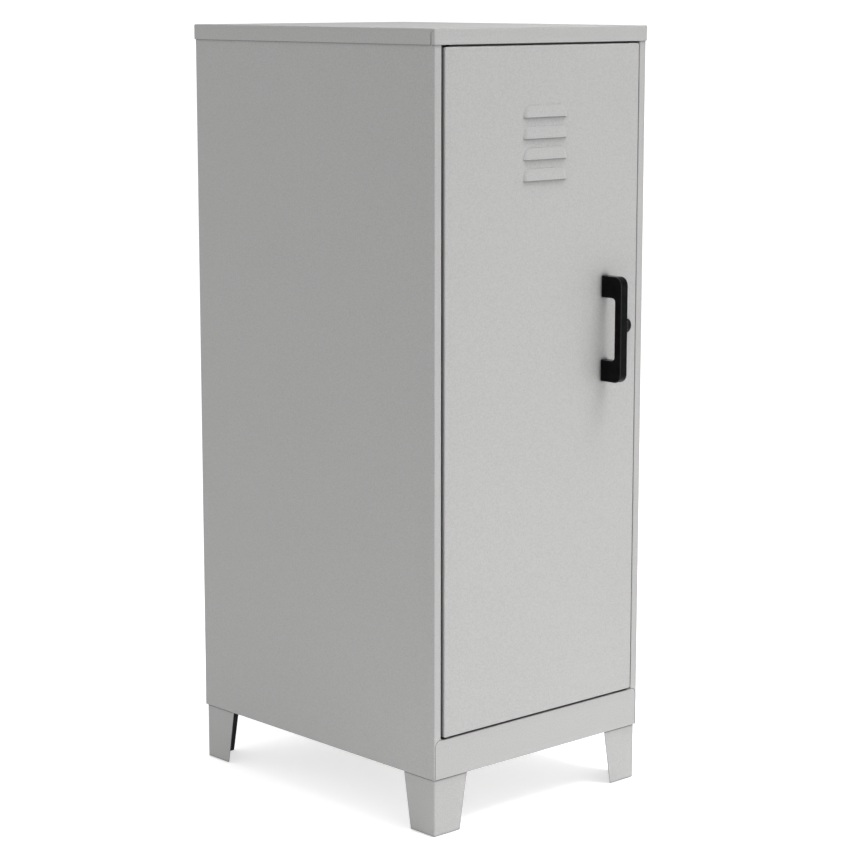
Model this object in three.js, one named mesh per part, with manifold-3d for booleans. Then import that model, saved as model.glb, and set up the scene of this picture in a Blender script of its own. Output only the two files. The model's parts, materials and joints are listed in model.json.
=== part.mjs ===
// Single-door steel locker cabinet on four angle legs.
//
// Millimetres. X runs across the front (+X to the right), +Y to the back, +Z up. The origin is
// on the floor, under the middle of the box around the whole object, handle included.
// Sheet-metal pieces that are welded or screwed together keep a small gap to each other.

import * as THREE from 'three';
import { mergeVertices } from 'three/addons/utils/BufferGeometryUtils.js';
import { ConvexGeometry } from 'three/addons/geometries/ConvexGeometry.js';
import Module from 'manifold-3d';

const wasm = await Module();
wasm.setup();

// ---- Driving dimensions -------------------------------------------------------------------

const LID_WIDTH = 362;
const LID_DEPTH = 457;
const TOTAL_HEIGHT = 977;
const SHEET = 0.8;               // body, lid, door and shelves
const LEG_SHEET = 1.5;
const GAP = 0.3;                 // between pieces that touch on the real cabinet
const BEND = 1.2;                // bend radius at the middle of the sheet
const OVERCUT = 1;               // how far a cutting tool runs past the face that it cuts

const LID_FLANGE = 19;
const LID_PLAY = 0.5;            // from the lid's flanges to the body inside them
const LID_SEAM_SETBACK = 3.5;    // corner seam on the lid's side, behind the front face
const LID_SEAM_WIDTH = 0.4;
const LID_SEAM_TOP = 2.5;         // the seam ends this far below the lid's top

const STILE_WIDTH = 11.5;        // front returns of the side panels
const STILE_DEPTH = 18;
const STOP_WIDTH = 9;            // flange behind the door's free edge
const REAR_FLANGE = 14.7;
const BODY_BOTTOM = 73;

const RAIL_HEIGHT = 49.3;        // base rail, up to the door gap
const RAIL_INSET = 2.3;          // the rail's plate stops short of the cabinet's corners
const RAIL_CORNER = 8;           // radius of the plate's upper corners
const PAN_LEDGE = 46;            // inward flange under the floor pan, for the legs' screws
const PAN_LIFT = 0.6;            // from the body's bottom edge up to that flange
const STOP_LIP = 12;             // height of the lips that the door closes against
const HEADER_BOTTOM = 957.5;
const HEADER_RETURN = 14;
const RAIL_END_GAP = 0.4;        // from the rails' ends to the stiles
const HINGE_SWEEP = 17;          // from the hinge axis, clear of the stop lips
const TOP_EDGE_PLAY = 0.1;       // from the top edges to the body's own top

const DOOR_GAP = 3;              // at the sides
const DOOR_GAP_TOP = 2.1;
const DOOR_GAP_BOTTOM = 2.5;
const DOOR_PROUD = 2.3;          // the door's face stands in front of the stiles
const DOOR_DEPTH = 16;
const DOOR_RETURN = 9.6;
const STIFFENER_HALF_WIDTH = 18;
const STIFFENER_FOOT = 29;       // from the door's middle to the channel's outer edges
const STIFFENER_INSET = 2;       // from the door's back to the channel's face
const STIFFENER_RISE = 25;       // above the door's bottom edge

const HINGE_FROM_EDGE = 12;      // hinge axis, from the door's hinge edge
const HINGE_FROM_FACE = 8;       // hinge axis, behind the door's face
const PIN_RADIUS = 3;
const PIN_HEAD_RADIUS = 4.2;
const BUSH_RADIUS = 4.3;
const BUSH_FLANGE_RADIUS = 6.2;

const LOUVER_COUNT = 4;
const LOUVER_PITCH = 25.4;
const LOUVER_WIDTH = 75;
const LOUVER_TOP_WIDTH = 65;
const LOUVER_HEIGHT = 14;
const LOUVER_PROUD = 3.2;
const LOUVER_TOP_LIP = 870;      // height of the uppermost louver's lip

const HANDLE_X = 108;
const HANDLE_Z = 602.5;
const HANDLE_LENGTH = 133;
const HANDLE_WIDTH = 12;
const HANDLE_REACH = 34;         // from the door's face
const HANDLE_BAR = 11;
const HANDLE_POST = 27;
const HANDLE_OUTER_RADIUS = 11;
const HANDLE_INNER_RADIUS = 5;
const HANDLE_ROUND = 1.5;
const HANDLE_HOLE_RADIUS = 2.4;
const HANDLE_BORE_RADIUS = 2.3;
const HANDLE_BORE_DEPTH = 16;
const HANDLE_SCREW_SPREAD = 106;

const LOCK_X = 144.5;
const LOCK_Z = 602.5;
const BEZEL_RADIUS = 9.35;
const BEZEL_PROUD = 4;
const BEZEL_BEVEL = 1.5;
const BARREL_RADIUS = 8;
const PLUG_RADIUS = 5.5;
const PLUG_SHANK_RADIUS = 4;
const BARREL_LENGTH = 20.2;       // from the door's face
const NUT_RADIUS = 12;
const NUT_HEIGHT = 4;
const KEY_SLOT_HALF_WIDTH = 0.8;
const KEY_SLOT_HALF_HEIGHT = 3.6;
const KEY_SLOT_DEPTH = 8;
const CAM_LENGTH = 28;
const CAM_WIDTH = 15;
const CAM_SHEET = 2;
const CAM_BORE_RADIUS = 1.9;

const BUMPER_RADIUS = 4;         // on the stop flange, with the catch between them
const BUMPER_Z = { upper: 842, lower: 242 };
const CATCH_Z = 752;
const CATCH_LENGTH = 50;
const CATCH_WIDTH = 8;

const SHELF_SLOTS = { lower: 3, upper: 9 };         // slots that the clips hook into, from the bottom
const SHELF_HALF_WIDTH = 171.5;
const SHELF_FRONT = -194;
const SHELF_BACK = 216;
const SHELF_FLANGE = 18;
const SHELF_RETURN = 10;

const STANDARD_Y = { front: -150, rear: 180 };      // shelf standards on the side panels
const STANDARD_DEPTH = 6;
const STANDARD_FACE = 18;
const STANDARD_SHEET = 1;
const STANDARD_FOOT = 7;         // each of the two strips that lie on the wall
const SLOT_PITCH = 50.8;
const SLOT_COUNT = 13;
const SLOT_FIRST_Z = 209.4;
const SLOT_WIDTH = 3;
const SLOT_HEIGHT = 9;
const CLIP_LEDGE = 11;
const CLIP_WIDTH = 15;
const CLIP_DROP = 16;
const CLIP_SHEET = 1.2;
const HOOK_DROP = 6;             // from the clip's ledge to the middle of its hook
const HOOK_HALF_HEIGHT = 3.5;
const HOOK_HALF_WIDTH = 1.1;
const HOOK_REACH = 3;

const LEG_INSET = 2;             // from the body's faces
const LEG_TOP_WIDTH = 55;
const LEG_FOOT_WIDTH = 43;
const LEG_LIFT = 1;              // the plastic glide carries the steel clear of the floor
const LEG_PLATE = 45;
const LEG_SCREW_NEAR = 16;       // from the leg's outer faces
const LEG_SCREW_FAR = 31;
const GLIDE_INSET = 4;           // the glide stops short of the flanges' free edges
const GLIDE_WALL = 2;
const GLIDE_PAD = 7;
const GLIDE_PAD_REACH = 25;      // the pad under the leg's corner, along each flange
const GLIDE_PAD_TOE = 10;

const ROUND_SEGMENTS = 20;
const SCREW_SEGMENTS = 12;
const LEG_HOLE_RADIUS = 2.8;

// ---- Worked out from them -----------------------------------------------------------------

const bodyHalfWidth = LID_WIDTH / 2 - SHEET - LID_PLAY;
const bodyHalfDepth = LID_DEPTH / 2 - SHEET - LID_PLAY;
const bodyTop = TOTAL_HEIGHT - SHEET - LID_PLAY;
const front = -bodyHalfDepth;
const stileInner = bodyHalfWidth - STILE_WIDTH;
const stileBack = front + STILE_DEPTH;
const railTop = BODY_BOTTOM + RAIL_HEIGHT;
const panTop = railTop - SHEET - GAP;
const wallInner = bodyHalfWidth - SHEET;
const panHalfWidth = wallInner - GAP;
const panFront = front + SHEET + GAP;
const panBack = -front - 2 * (SHEET + GAP);
const panBottom = BODY_BOTTOM + PAN_LIFT;
const legTop = BODY_BOTTOM + GAP;
const legX = bodyHalfWidth - LEG_INSET;
const legY = bodyHalfDepth - LEG_INSET;
const stopFace = stileBack - SHEET;
const stopX = stileInner - STOP_WIDTH / 2;
const standardBack = wallInner - GAP;
const standardFace = standardBack - STANDARD_DEPTH;

const doorFace = front - DOOR_PROUD;
const doorBack = doorFace + DOOR_DEPTH;
const doorHalfWidth = stileInner - DOOR_GAP;
const doorBottom = railTop + DOOR_GAP_BOTTOM;
const doorTop = HEADER_BOTTOM - DOOR_GAP_TOP;
const hingeX = -doorHalfWidth + HINGE_FROM_EDGE;
const hingeY = doorFace + HINGE_FROM_FACE;
const railEnd = stileInner - RAIL_END_GAP;
const stopHingeEnd = hingeX + HINGE_SWEEP;
const stopLatchEnd = stileInner - STOP_WIDTH - RAIL_END_GAP;
const barrelBack = doorFace + BARREL_LENGTH;
const camFront = barrelBack + SHEET;

// The handle reaches out in front of the lid, so the body sits half of that reach further back.
const handleFront = doorFace - HANDLE_REACH;
const bodyShift = (-LID_DEPTH / 2 - handleFront) / 2;

// ---- Finishes -----------------------------------------------------------------------------

const FINISH = {
  powderCoat: { color: 0xc6c6c4, roughness: 0.55, metalness: 0.1 },
  blackPlastic: { color: 0x0c0c0d, roughness: 0.3, metalness: 0 },
  legPlastic: { color: 0x101010, roughness: 0.6, metalness: 0 },
  zinc: { color: 0xb4b6b8, roughness: 0.35, metalness: 0.9 },
  nylon: { color: 0x17171a, roughness: 0.5, metalness: 0 },
  rubber: { color: 0x1a1a1a, roughness: 0.85, metalness: 0 },
};

// ---- Shape helpers ------------------------------------------------------------------------

function toSolid(geometry) {
  const bare = geometry.clone();
  bare.deleteAttribute('normal');
  bare.deleteAttribute('uv');
  const merged = mergeVertices(bare, 1e-4);
  return new wasm.Manifold(new wasm.Mesh({
    numProp: 3,
    vertProperties: new Float32Array(merged.attributes.position.array),
    triVerts: new Uint32Array(merged.index.array),
  }));
}

function toGeometry(solid) {
  const mesh = solid.getMesh();
  const geometry = new THREE.BufferGeometry();
  geometry.setAttribute('position', new THREE.BufferAttribute(mesh.vertProperties, 3));
  geometry.setIndex(new THREE.BufferAttribute(mesh.triVerts, 1));
  const flat = geometry.toNonIndexed();
  flat.computeVertexNormals();
  return flat;
}

function join(first, ...rest) {
  return toGeometry(rest.reduce((solid, piece) => solid.add(toSolid(piece)), toSolid(first)));
}

function cut(first, ...rest) {
  return toGeometry(rest.reduce((solid, piece) => solid.subtract(toSolid(piece)), toSolid(first)));
}

function block(x0, x1, y0, y1, z0, z1) {
  const geometry = new THREE.BoxGeometry(x1 - x0, y1 - y0, z1 - z0);
  return geometry.translate((x0 + x1) / 2, (y0 + y1) / 2, (z0 + z1) / 2);
}

// Left and right swap: the piece for the other side of the cabinet.
function mirrored(geometry) {
  const copy = geometry.index ? geometry.toNonIndexed() : geometry.clone();
  const position = copy.attributes.position;
  for (let i = 0; i < position.count; i += 3) {
    const corners = [0, 2, 1].map((k) => new THREE.Vector3().fromBufferAttribute(position, i + k));
    corners.forEach((corner, k) => position.setXYZ(i + k, -corner.x, corner.y, corner.z));
  }
  copy.computeVertexNormals();
  return copy;
}

function extrude(shape, depth, options = {}) {
  return new THREE.ExtrudeGeometry(shape, { depth, bevelEnabled: false, curveSegments: 5, ...options });
}

// An outline in the X-Y plane, drawn up from z0 to z1.
function upright(shape, z0, z1) {
  return extrude(shape, z1 - z0).translate(0, 0, z0);
}

// An outline in the Y-Z plane, drawn across from x0 to x1.
function crosswise(shape, x0, x1, options) {
  const turn = new THREE.Matrix4().set(0, 0, 1, x0, 1, 0, 0, 0, 0, 1, 0, 0, 0, 0, 0, 1);
  return extrude(shape, x1 - x0, options).applyMatrix4(turn);
}

// An outline in the X-Z plane, drawn back from y0 to y1.
function lengthwise(shape, y0, y1, options) {
  return extrude(shape, y1 - y0, options).rotateX(Math.PI / 2).translate(0, y1, 0);
}

// A turned piece. The profile gives [radius, distance along the axis].
function turned(profile, axis = 'z', segments = ROUND_SEGMENTS) {
  const points = profile.map(([radius, along]) => new THREE.Vector2(radius, along));
  const geometry = new THREE.LatheGeometry(points, segments);
  return axis === 'z' ? geometry.rotateX(Math.PI / 2) : geometry;
}

function rod(radius, x, y, z0, z1, segments) {
  return turned([[0, z0], [radius, z0], [radius, z1], [0, z1]], 'z', segments).translate(x, y, 0);
}

function crossRod(radius, x, z, y0, y1, segments) {
  return turned([[0, y0], [radius, y0], [radius, y1], [0, y1]], 'y', segments).translate(x, 0, z);
}

// The section of a sheet bent along a line of corners. The corners lie at the middle of the
// sheet's thickness, and every bend has the same radius.
function bentSection(corners, thickness, radius = BEND, steps = 3) {
  const points = corners.map(([a, b]) => new THREE.Vector2(a, b));
  const leftSide = [];
  const rightSide = [];
  const lay = (point, direction) => {
    const normal = new THREE.Vector2(-direction.y, direction.x).multiplyScalar(thickness / 2);
    leftSide.push(point.clone().add(normal));
    rightSide.push(point.clone().sub(normal));
  };
  points.forEach((corner, i) => {
    const before = i > 0 ? corner.clone().sub(points[i - 1]).normalize() : null;
    const after = i < points.length - 1 ? points[i + 1].clone().sub(corner).normalize() : null;
    if (!before || !after) {
      lay(corner, before || after);
      return;
    }
    const turn = Math.atan2(before.cross(after), before.dot(after));
    const reach = radius * Math.tan(Math.abs(turn) / 2);
    const toCentre = new THREE.Vector2(-before.y, before.x).multiplyScalar(Math.sign(turn) * radius);
    const centre = corner.clone().addScaledVector(before, -reach).add(toCentre);
    for (let k = 0; k <= steps; k += 1) {
      const direction = before.clone().rotateAround(new THREE.Vector2(), (turn * k) / steps);
      const inward = new THREE.Vector2(-direction.y, direction.x).multiplyScalar(Math.sign(turn) * radius);
      lay(centre.clone().sub(inward), direction);
    }
  });
  const outline = [...leftSide, ...rightSide.reverse()];
  return new THREE.Shape(THREE.ShapeUtils.area(outline) < 0 ? outline.reverse() : outline);
}

// ---- Casing -------------------------------------------------------------------------------

// A shallow box turned upside down, with a seam in each front corner.
function lid() {
  const bottom = TOTAL_HEIGHT - LID_FLANGE;
  const halfWidth = LID_WIDTH / 2;
  const halfDepth = LID_DEPTH / 2;
  const outside = block(-halfWidth, halfWidth, -halfDepth, halfDepth, bottom, TOTAL_HEIGHT);
  const inside = block(
    -halfWidth + SHEET, halfWidth - SHEET, -halfDepth + SHEET, halfDepth - SHEET,
    bottom - OVERCUT, TOTAL_HEIGHT - SHEET,
  );
  const seamFront = -halfDepth + LID_SEAM_SETBACK;
  const seams = [-1, 1].map((side) => block(
    side * halfWidth - 2 * SHEET, side * halfWidth + 2 * SHEET,
    seamFront, seamFront + LID_SEAM_WIDTH, bottom - OVERCUT, TOTAL_HEIGHT - LID_SEAM_TOP,
  ));
  return cut(outside, inside, ...seams);
}

// Outline of the base rail's front plate, grown on its sides and top by the given margin.
function railPlateOutline(margin) {
  const half = bodyHalfWidth - RAIL_INSET + margin;
  const top = railTop + margin;
  const radius = RAIL_CORNER + margin;
  const bottom = BODY_BOTTOM - margin;
  const outline = new THREE.Shape();
  outline.moveTo(-half, bottom);
  outline.lineTo(half, bottom);
  outline.lineTo(half, top - radius);
  outline.absarc(half - radius, top - radius, radius, 0, Math.PI / 2);
  outline.lineTo(-half + radius, top);
  outline.absarc(-half + radius, top - radius, radius, Math.PI / 2, Math.PI);
  outline.closePath();
  return outline;
}

// One bent sheet: stile, side wall and rear flange. The base rail's plate sits in a notch.
function rightSidePanel(withStop) {
  const half = SHEET / 2;
  const corners = [
    [stileInner + half, stileBack - half],
    [stileInner + half, front + half],
    [bodyHalfWidth - half, front + half],
    [bodyHalfWidth - half, -front - half],
    [bodyHalfWidth - REAR_FLANGE, -front - half],
  ];
  if (withStop) corners.unshift([stileInner - STOP_WIDTH, stileBack - half]);
  const sheet = upright(bentSection(corners, SHEET), BODY_BOTTOM, bodyTop);
  const railNotch = lengthwise(railPlateOutline(GAP), front - OVERCUT, stileBack + OVERCUT);
  const headerNotch = block(
    stileInner - STOP_WIDTH - OVERCUT, stileInner - GAP, stileBack - 2, stileBack + OVERCUT,
    HEADER_BOTTOM - GAP, bodyTop + OVERCUT,
  );
  return cut(sheet, railNotch, headerNotch);
}

// Plain sheet behind the compartments, inside the side panels' rear flanges.
function backPanel() {
  const outer = -front - SHEET - GAP;
  return block(
    -wallInner + GAP, wallInner - GAP, outer - SHEET, outer,
    panBottom, bodyTop - TOP_EDGE_PLAY,
  );
}

// What the stop lips lose at their two ends: the hinge's swing and the flange on the other side.
function stopLipEnds(z0, z1) {
  const y0 = stileBack - 2 * BEND;
  return [
    block(-railEnd - OVERCUT, stopHingeEnd, y0, stileBack + OVERCUT, z0, z1),
    block(stopLatchEnd, railEnd + OVERCUT, y0, stileBack + OVERCUT, z0, z1),
  ];
}

// Channel across the top of the door opening, with the lip that the door closes against.
function topRail() {
  const half = SHEET / 2;
  const top = bodyTop - half - TOP_EDGE_PLAY;
  const section = bentSection([
    [front + HEADER_RETURN, top],
    [front + half, top],
    [front + half, HEADER_BOTTOM + half],
    [stileBack - half, HEADER_BOTTOM + half],
    [stileBack - half, HEADER_BOTTOM - STOP_LIP],
  ], SHEET);
  return cut(
    crosswise(section, -railEnd, railEnd),
    ...stopLipEnds(HEADER_BOTTOM - 2 * STOP_LIP, HEADER_BOTTOM - GAP),
    rod(PIN_RADIUS + GAP, hingeX, hingeY, HEADER_BOTTOM - OVERCUT, HEADER_BOTTOM + SHEET + OVERCUT),
  );
}

// Front plate under the door, bent back over the floor pan and up into the door stop.
function baseRail() {
  const half = SHEET / 2;
  const section = bentSection([
    [stileBack - half, railTop + STOP_LIP],
    [stileBack - half, railTop - half],
    [front + half, railTop - half],
    [front + half, BODY_BOTTOM],
  ], SHEET);
  const plate = lengthwise(railPlateOutline(0), front, front + SHEET);
  const bendRelief = block(
    -railEnd, railEnd, front - OVERCUT, front + 2 * BEND, railTop - 2 * BEND, railTop + OVERCUT,
  );
  return cut(
    join(cut(plate, bendRelief), crosswise(section, -railEnd, railEnd)),
    ...stopLipEnds(railTop + GAP, railTop + 2 * STOP_LIP),
    rod(PIN_RADIUS + GAP, hingeX, hingeY, railTop - SHEET - OVERCUT, railTop + OVERCUT),
  );
}

// Cabinet floor with deep skirts and an inward ledge that the legs are screwed to.
function floorPan() {
  const outside = block(-panHalfWidth, panHalfWidth, panFront, panBack, panBottom, panTop);
  const hollow = block(
    -panHalfWidth + SHEET, panHalfWidth - SHEET, panFront + SHEET, panBack - SHEET,
    panBottom + SHEET, panTop - SHEET,
  );
  const window = block(
    -panHalfWidth + PAN_LEDGE, panHalfWidth - PAN_LEDGE, panFront + PAN_LEDGE, panBack - PAN_LEDGE,
    panBottom - OVERCUT, panBottom + SHEET + OVERCUT,
  );
  const holes = legScrewPlaces().map(({ x, y }) => rod(
    LEG_HOLE_RADIUS, x, y, panBottom - OVERCUT, panBottom + SHEET + OVERCUT, SCREW_SEGMENTS,
  ));
  return cut(outside, hollow, window, ...holes);
}

// ---- Legs ---------------------------------------------------------------------------------

const CORNERS = [
  { name: 'front_left', sx: -1, sy: -1 },
  { name: 'front_right', sx: 1, sy: -1 },
  { name: 'rear_left', sx: -1, sy: 1 },
  { name: 'rear_right', sx: 1, sy: 1 },
];

function legScrewPlaces() {
  return CORNERS.flatMap(({ name, sx, sy }) => [
    { name: `leg_screw_${name}_a`, x: sx * (legX - LEG_SCREW_NEAR), y: sy * (legY - LEG_SCREW_FAR) },
    { name: `leg_screw_${name}_b`, x: sx * (legX - LEG_SCREW_FAR), y: sy * (legY - LEG_SCREW_NEAR) },
  ]);
}

// One flange's outline: straight along the corner, tapering towards the floor.
function taperedOutline(topWidth, footWidth, bottom, top, start) {
  return new THREE.Shape([
    new THREE.Vector2(start, bottom),
    new THREE.Vector2(start + footWidth, bottom),
    new THREE.Vector2(start + topWidth, top),
    new THREE.Vector2(start, top),
  ]);
}

// An angle with its corner on the Z axis at the origin and its flanges along +X and +Y.
function taperedAngle(topWidth, footWidth, bottom, top, thickness, start = 0) {
  const outline = taperedOutline(topWidth, footWidth, bottom, top, start);
  const alongX = lengthwise(outline, start, start + thickness);
  const alongY = crosswise(outline, start, start + thickness);
  return join(alongX, alongY);
}

function placedAtCorner(geometry, sx, sy) {
  let placed = geometry;
  if (sx > 0) placed = mirrored(placed);
  if (sy > 0) placed = mirrored(placed.rotateZ(Math.PI));
  return placed.translate(sx * legX, sy * legY, 0);
}

// Steel angle with a screw plate folded in at its top.
function leg() {
  const angle = taperedAngle(LEG_TOP_WIDTH, LEG_FOOT_WIDTH, LEG_LIFT, legTop, LEG_SHEET);
  const plate = upright(new THREE.Shape([
    new THREE.Vector2(LEG_SHEET / 2, LEG_SHEET / 2),
    new THREE.Vector2(LEG_PLATE, LEG_SHEET / 2),
    new THREE.Vector2(LEG_PLATE, LEG_PLATE / 2),
    new THREE.Vector2(LEG_PLATE / 2, LEG_PLATE),
    new THREE.Vector2(LEG_SHEET / 2, LEG_PLATE),
  ]), legTop - LEG_SHEET, legTop);
  const holes = [[LEG_SCREW_NEAR, LEG_SCREW_FAR], [LEG_SCREW_FAR, LEG_SCREW_NEAR]].map(([x, y]) => rod(
    LEG_HOLE_RADIUS, x, y, legTop - LEG_SHEET - OVERCUT, legTop + OVERCUT, SCREW_SEGMENTS,
  ));
  return cut(join(angle, plate), ...holes);
}

// Plastic glide: a liner inside the angle, with a pad that stands on the floor.
function legGlide() {
  const start = LEG_SHEET + GAP;
  const top = legTop - LEG_SHEET - GAP;
  const liner = taperedAngle(
    LEG_TOP_WIDTH - GLIDE_INSET, LEG_FOOT_WIDTH - GLIDE_INSET, 0, top, GLIDE_WALL, start,
  );
  const near = start + GLIDE_WALL / 2;
  const pad = upright(new THREE.Shape([
    new THREE.Vector2(near, near),
    new THREE.Vector2(GLIDE_PAD_REACH, near),
    new THREE.Vector2(GLIDE_PAD_REACH, GLIDE_PAD_TOE),
    new THREE.Vector2(GLIDE_PAD_TOE, GLIDE_PAD_REACH),
    new THREE.Vector2(near, GLIDE_PAD_REACH),
  ]), 0, GLIDE_PAD);
  return join(liner, pad);
}

// Pan-head screw, head down, into the floor pan's ledge.
function legScrew({ x, y }) {
  const headTop = legTop - LEG_SHEET - GAP;
  const headBottom = headTop - 2.6;
  return turned([
    [0, headBottom], [3.4, headBottom], [4.5, headBottom + 0.9], [4.5, headTop],
    [2.5, headTop], [2.5, headTop + 10], [1.8, headTop + 11], [0, headTop + 11],
  ], 'z', SCREW_SEGMENTS).translate(x, y, 0);
}

// ---- Shelves ------------------------------------------------------------------------------

// Hat channel on the right side wall, slotted for the shelf clips.
function shelfStandard(y) {
  const half = STANDARD_SHEET / 2;
  const faceHalf = STANDARD_FACE / 2;
  const section = bentSection([
    [standardBack - half, y - faceHalf - STANDARD_FOOT],
    [standardBack - half, y - faceHalf],
    [standardFace + half, y - faceHalf],
    [standardFace + half, y + faceHalf],
    [standardBack - half, y + faceHalf],
    [standardBack - half, y + faceHalf + STANDARD_FOOT],
  ], STANDARD_SHEET, 1, 2);
  const channel = upright(section, railTop + 8, HEADER_BOTTOM - 20);
  const slots = Array.from({ length: SLOT_COUNT }, (_, i) => {
    const z = SLOT_FIRST_Z + i * SLOT_PITCH;
    return block(
      standardFace - OVERCUT, standardFace + STANDARD_SHEET + OVERCUT,
      y - SLOT_WIDTH / 2, y + SLOT_WIDTH / 2,
      z - SLOT_HEIGHT / 2, z + SLOT_HEIGHT / 2,
    );
  });
  return cut(channel, ...slots);
}

// Steel clip on the right side: a ledge under the shelf and a hook in the standard's slot.
function shelfClip(y, slot) {
  const slotZ = SLOT_FIRST_Z + slot * SLOT_PITCH;
  const top = slotZ + HOOK_DROP;
  const backFace = standardFace - GAP;
  const ledge = block(
    backFace - CLIP_LEDGE, backFace, y - CLIP_WIDTH / 2, y + CLIP_WIDTH / 2, top - CLIP_SHEET, top,
  );
  const plate = block(
    backFace - CLIP_SHEET, backFace, y - CLIP_WIDTH / 2, y + CLIP_WIDTH / 2, top - CLIP_DROP, top,
  );
  const hook = block(
    backFace - CLIP_SHEET / 2, backFace + HOOK_REACH, y - HOOK_HALF_WIDTH, y + HOOK_HALF_WIDTH,
    slotZ - HOOK_HALF_HEIGHT, slotZ + HOOK_HALF_HEIGHT,
  );
  return join(ledge, plate, hook);
}

// Tray turned upside down: flanges on all four sides, returned inwards at front and back.
function shelf(slot) {
  const bottom = SLOT_FIRST_Z + slot * SLOT_PITCH + HOOK_DROP + GAP;
  const top = bottom + SHELF_FLANGE;
  const inner = SHELF_HALF_WIDTH - SHEET;
  return cut(
    block(-SHELF_HALF_WIDTH, SHELF_HALF_WIDTH, SHELF_FRONT, SHELF_BACK, bottom, top),
    block(-inner, inner, SHELF_FRONT + SHEET, SHELF_BACK - SHEET, bottom + SHEET, top - SHEET),
    block(
      -inner, inner, SHELF_FRONT + SHELF_RETURN, SHELF_BACK - SHELF_RETURN,
      bottom - OVERCUT, bottom + SHEET + OVERCUT,
    ),
  );
}

// ---- Door ---------------------------------------------------------------------------------

// Half-moon hood pressed out of the sheet: closed at its top and ends, open below.
function louverHood(lipZ, inset) {
  const lipHalf = LOUVER_WIDTH / 2 - inset;
  const topHalf = LOUVER_TOP_WIDTH / 2 - inset;
  const top = lipZ + LOUVER_HEIGHT - inset;
  const sheetFace = doorFace + (inset > 0 ? SHEET + 1 : SHEET / 2);
  const bottom = lipZ - (inset > 0 ? 0.01 : 0);
  const reach = LOUVER_PROUD - inset;
  const points = [];
  const addPair = (x, y, z) => points.push(new THREE.Vector3(x, y, z), new THREE.Vector3(-x, y, z));
  addPair(lipHalf, sheetFace, bottom);
  addPair(lipHalf, sheetFace, bottom + 4);
  addPair(topHalf, sheetFace, top);
  addPair(topHalf + 3.5, sheetFace, top - 2.5);
  addPair(lipHalf - 4, doorFace - reach, bottom);
  addPair(lipHalf - 6, doorFace - reach * 0.97, bottom + 2.5);
  addPair(topHalf - 2, doorFace - reach * 0.55, bottom + LOUVER_HEIGHT * 0.62);
  addPair(lipHalf, doorFace - 0.4 * (inset > 0 ? 0 : 1), bottom);
  return new ConvexGeometry(points);
}

// Sheet pan with its flanges to the back, louvers near the top, and the fittings' holes.
function doorPanel() {
  const outside = block(-doorHalfWidth, doorHalfWidth, doorFace, doorBack, doorBottom, doorTop);
  const hollow = block(
    -doorHalfWidth + SHEET, doorHalfWidth - SHEET, doorFace + SHEET, doorBack - SHEET,
    doorBottom + SHEET, doorTop - SHEET,
  );
  const window = block(
    -doorHalfWidth + DOOR_RETURN, doorHalfWidth - DOOR_RETURN,
    doorBack - SHEET - OVERCUT, doorBack + OVERCUT,
    doorBottom + SHEET, doorTop - SHEET,
  );
  const pan = cut(outside, hollow, window);
  const lips = Array.from({ length: LOUVER_COUNT }, (_, i) => LOUVER_TOP_LIP - i * LOUVER_PITCH);
  const hooded = join(pan, ...lips.map((z) => louverHood(z, 0)));
  const screwHoles = [-1, 1].map((end) => crossRod(
    HANDLE_HOLE_RADIUS, HANDLE_X, HANDLE_Z + end * HANDLE_SCREW_SPREAD / 2,
    doorFace - OVERCUT, doorFace + SHEET + OVERCUT, SCREW_SEGMENTS,
  ));
  return cut(
    hooded,
    ...lips.map((z) => louverHood(z, SHEET)),
    ...screwHoles,
    crossRod(BARREL_RADIUS + GAP, LOCK_X, LOCK_Z, doorFace - OVERCUT, doorFace + SHEET + OVERCUT),
    rod(BUSH_RADIUS + GAP, hingeX, hingeY, doorTop - SHEET - OVERCUT, doorTop + OVERCUT),
    rod(BUSH_RADIUS + GAP, hingeX, hingeY, doorBottom - OVERCUT, doorBottom + SHEET + OVERCUT),
  );
}

// Upright hat channel welded to the back of the door, below the louvers.
function doorStiffener() {
  const near = doorFace + SHEET + GAP + SHEET / 2;
  const far = doorBack - STIFFENER_INSET;
  const [foot, wall] = [STIFFENER_FOOT, STIFFENER_HALF_WIDTH];
  const section = bentSection([
    [-foot, near], [-wall, near], [-wall, far], [wall, far], [wall, near], [foot, near],
  ], SHEET);
  return upright(section, doorBottom + STIFFENER_RISE, LOUVER_TOP_LIP - LOUVER_COUNT * LOUVER_PITCH);
}

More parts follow.
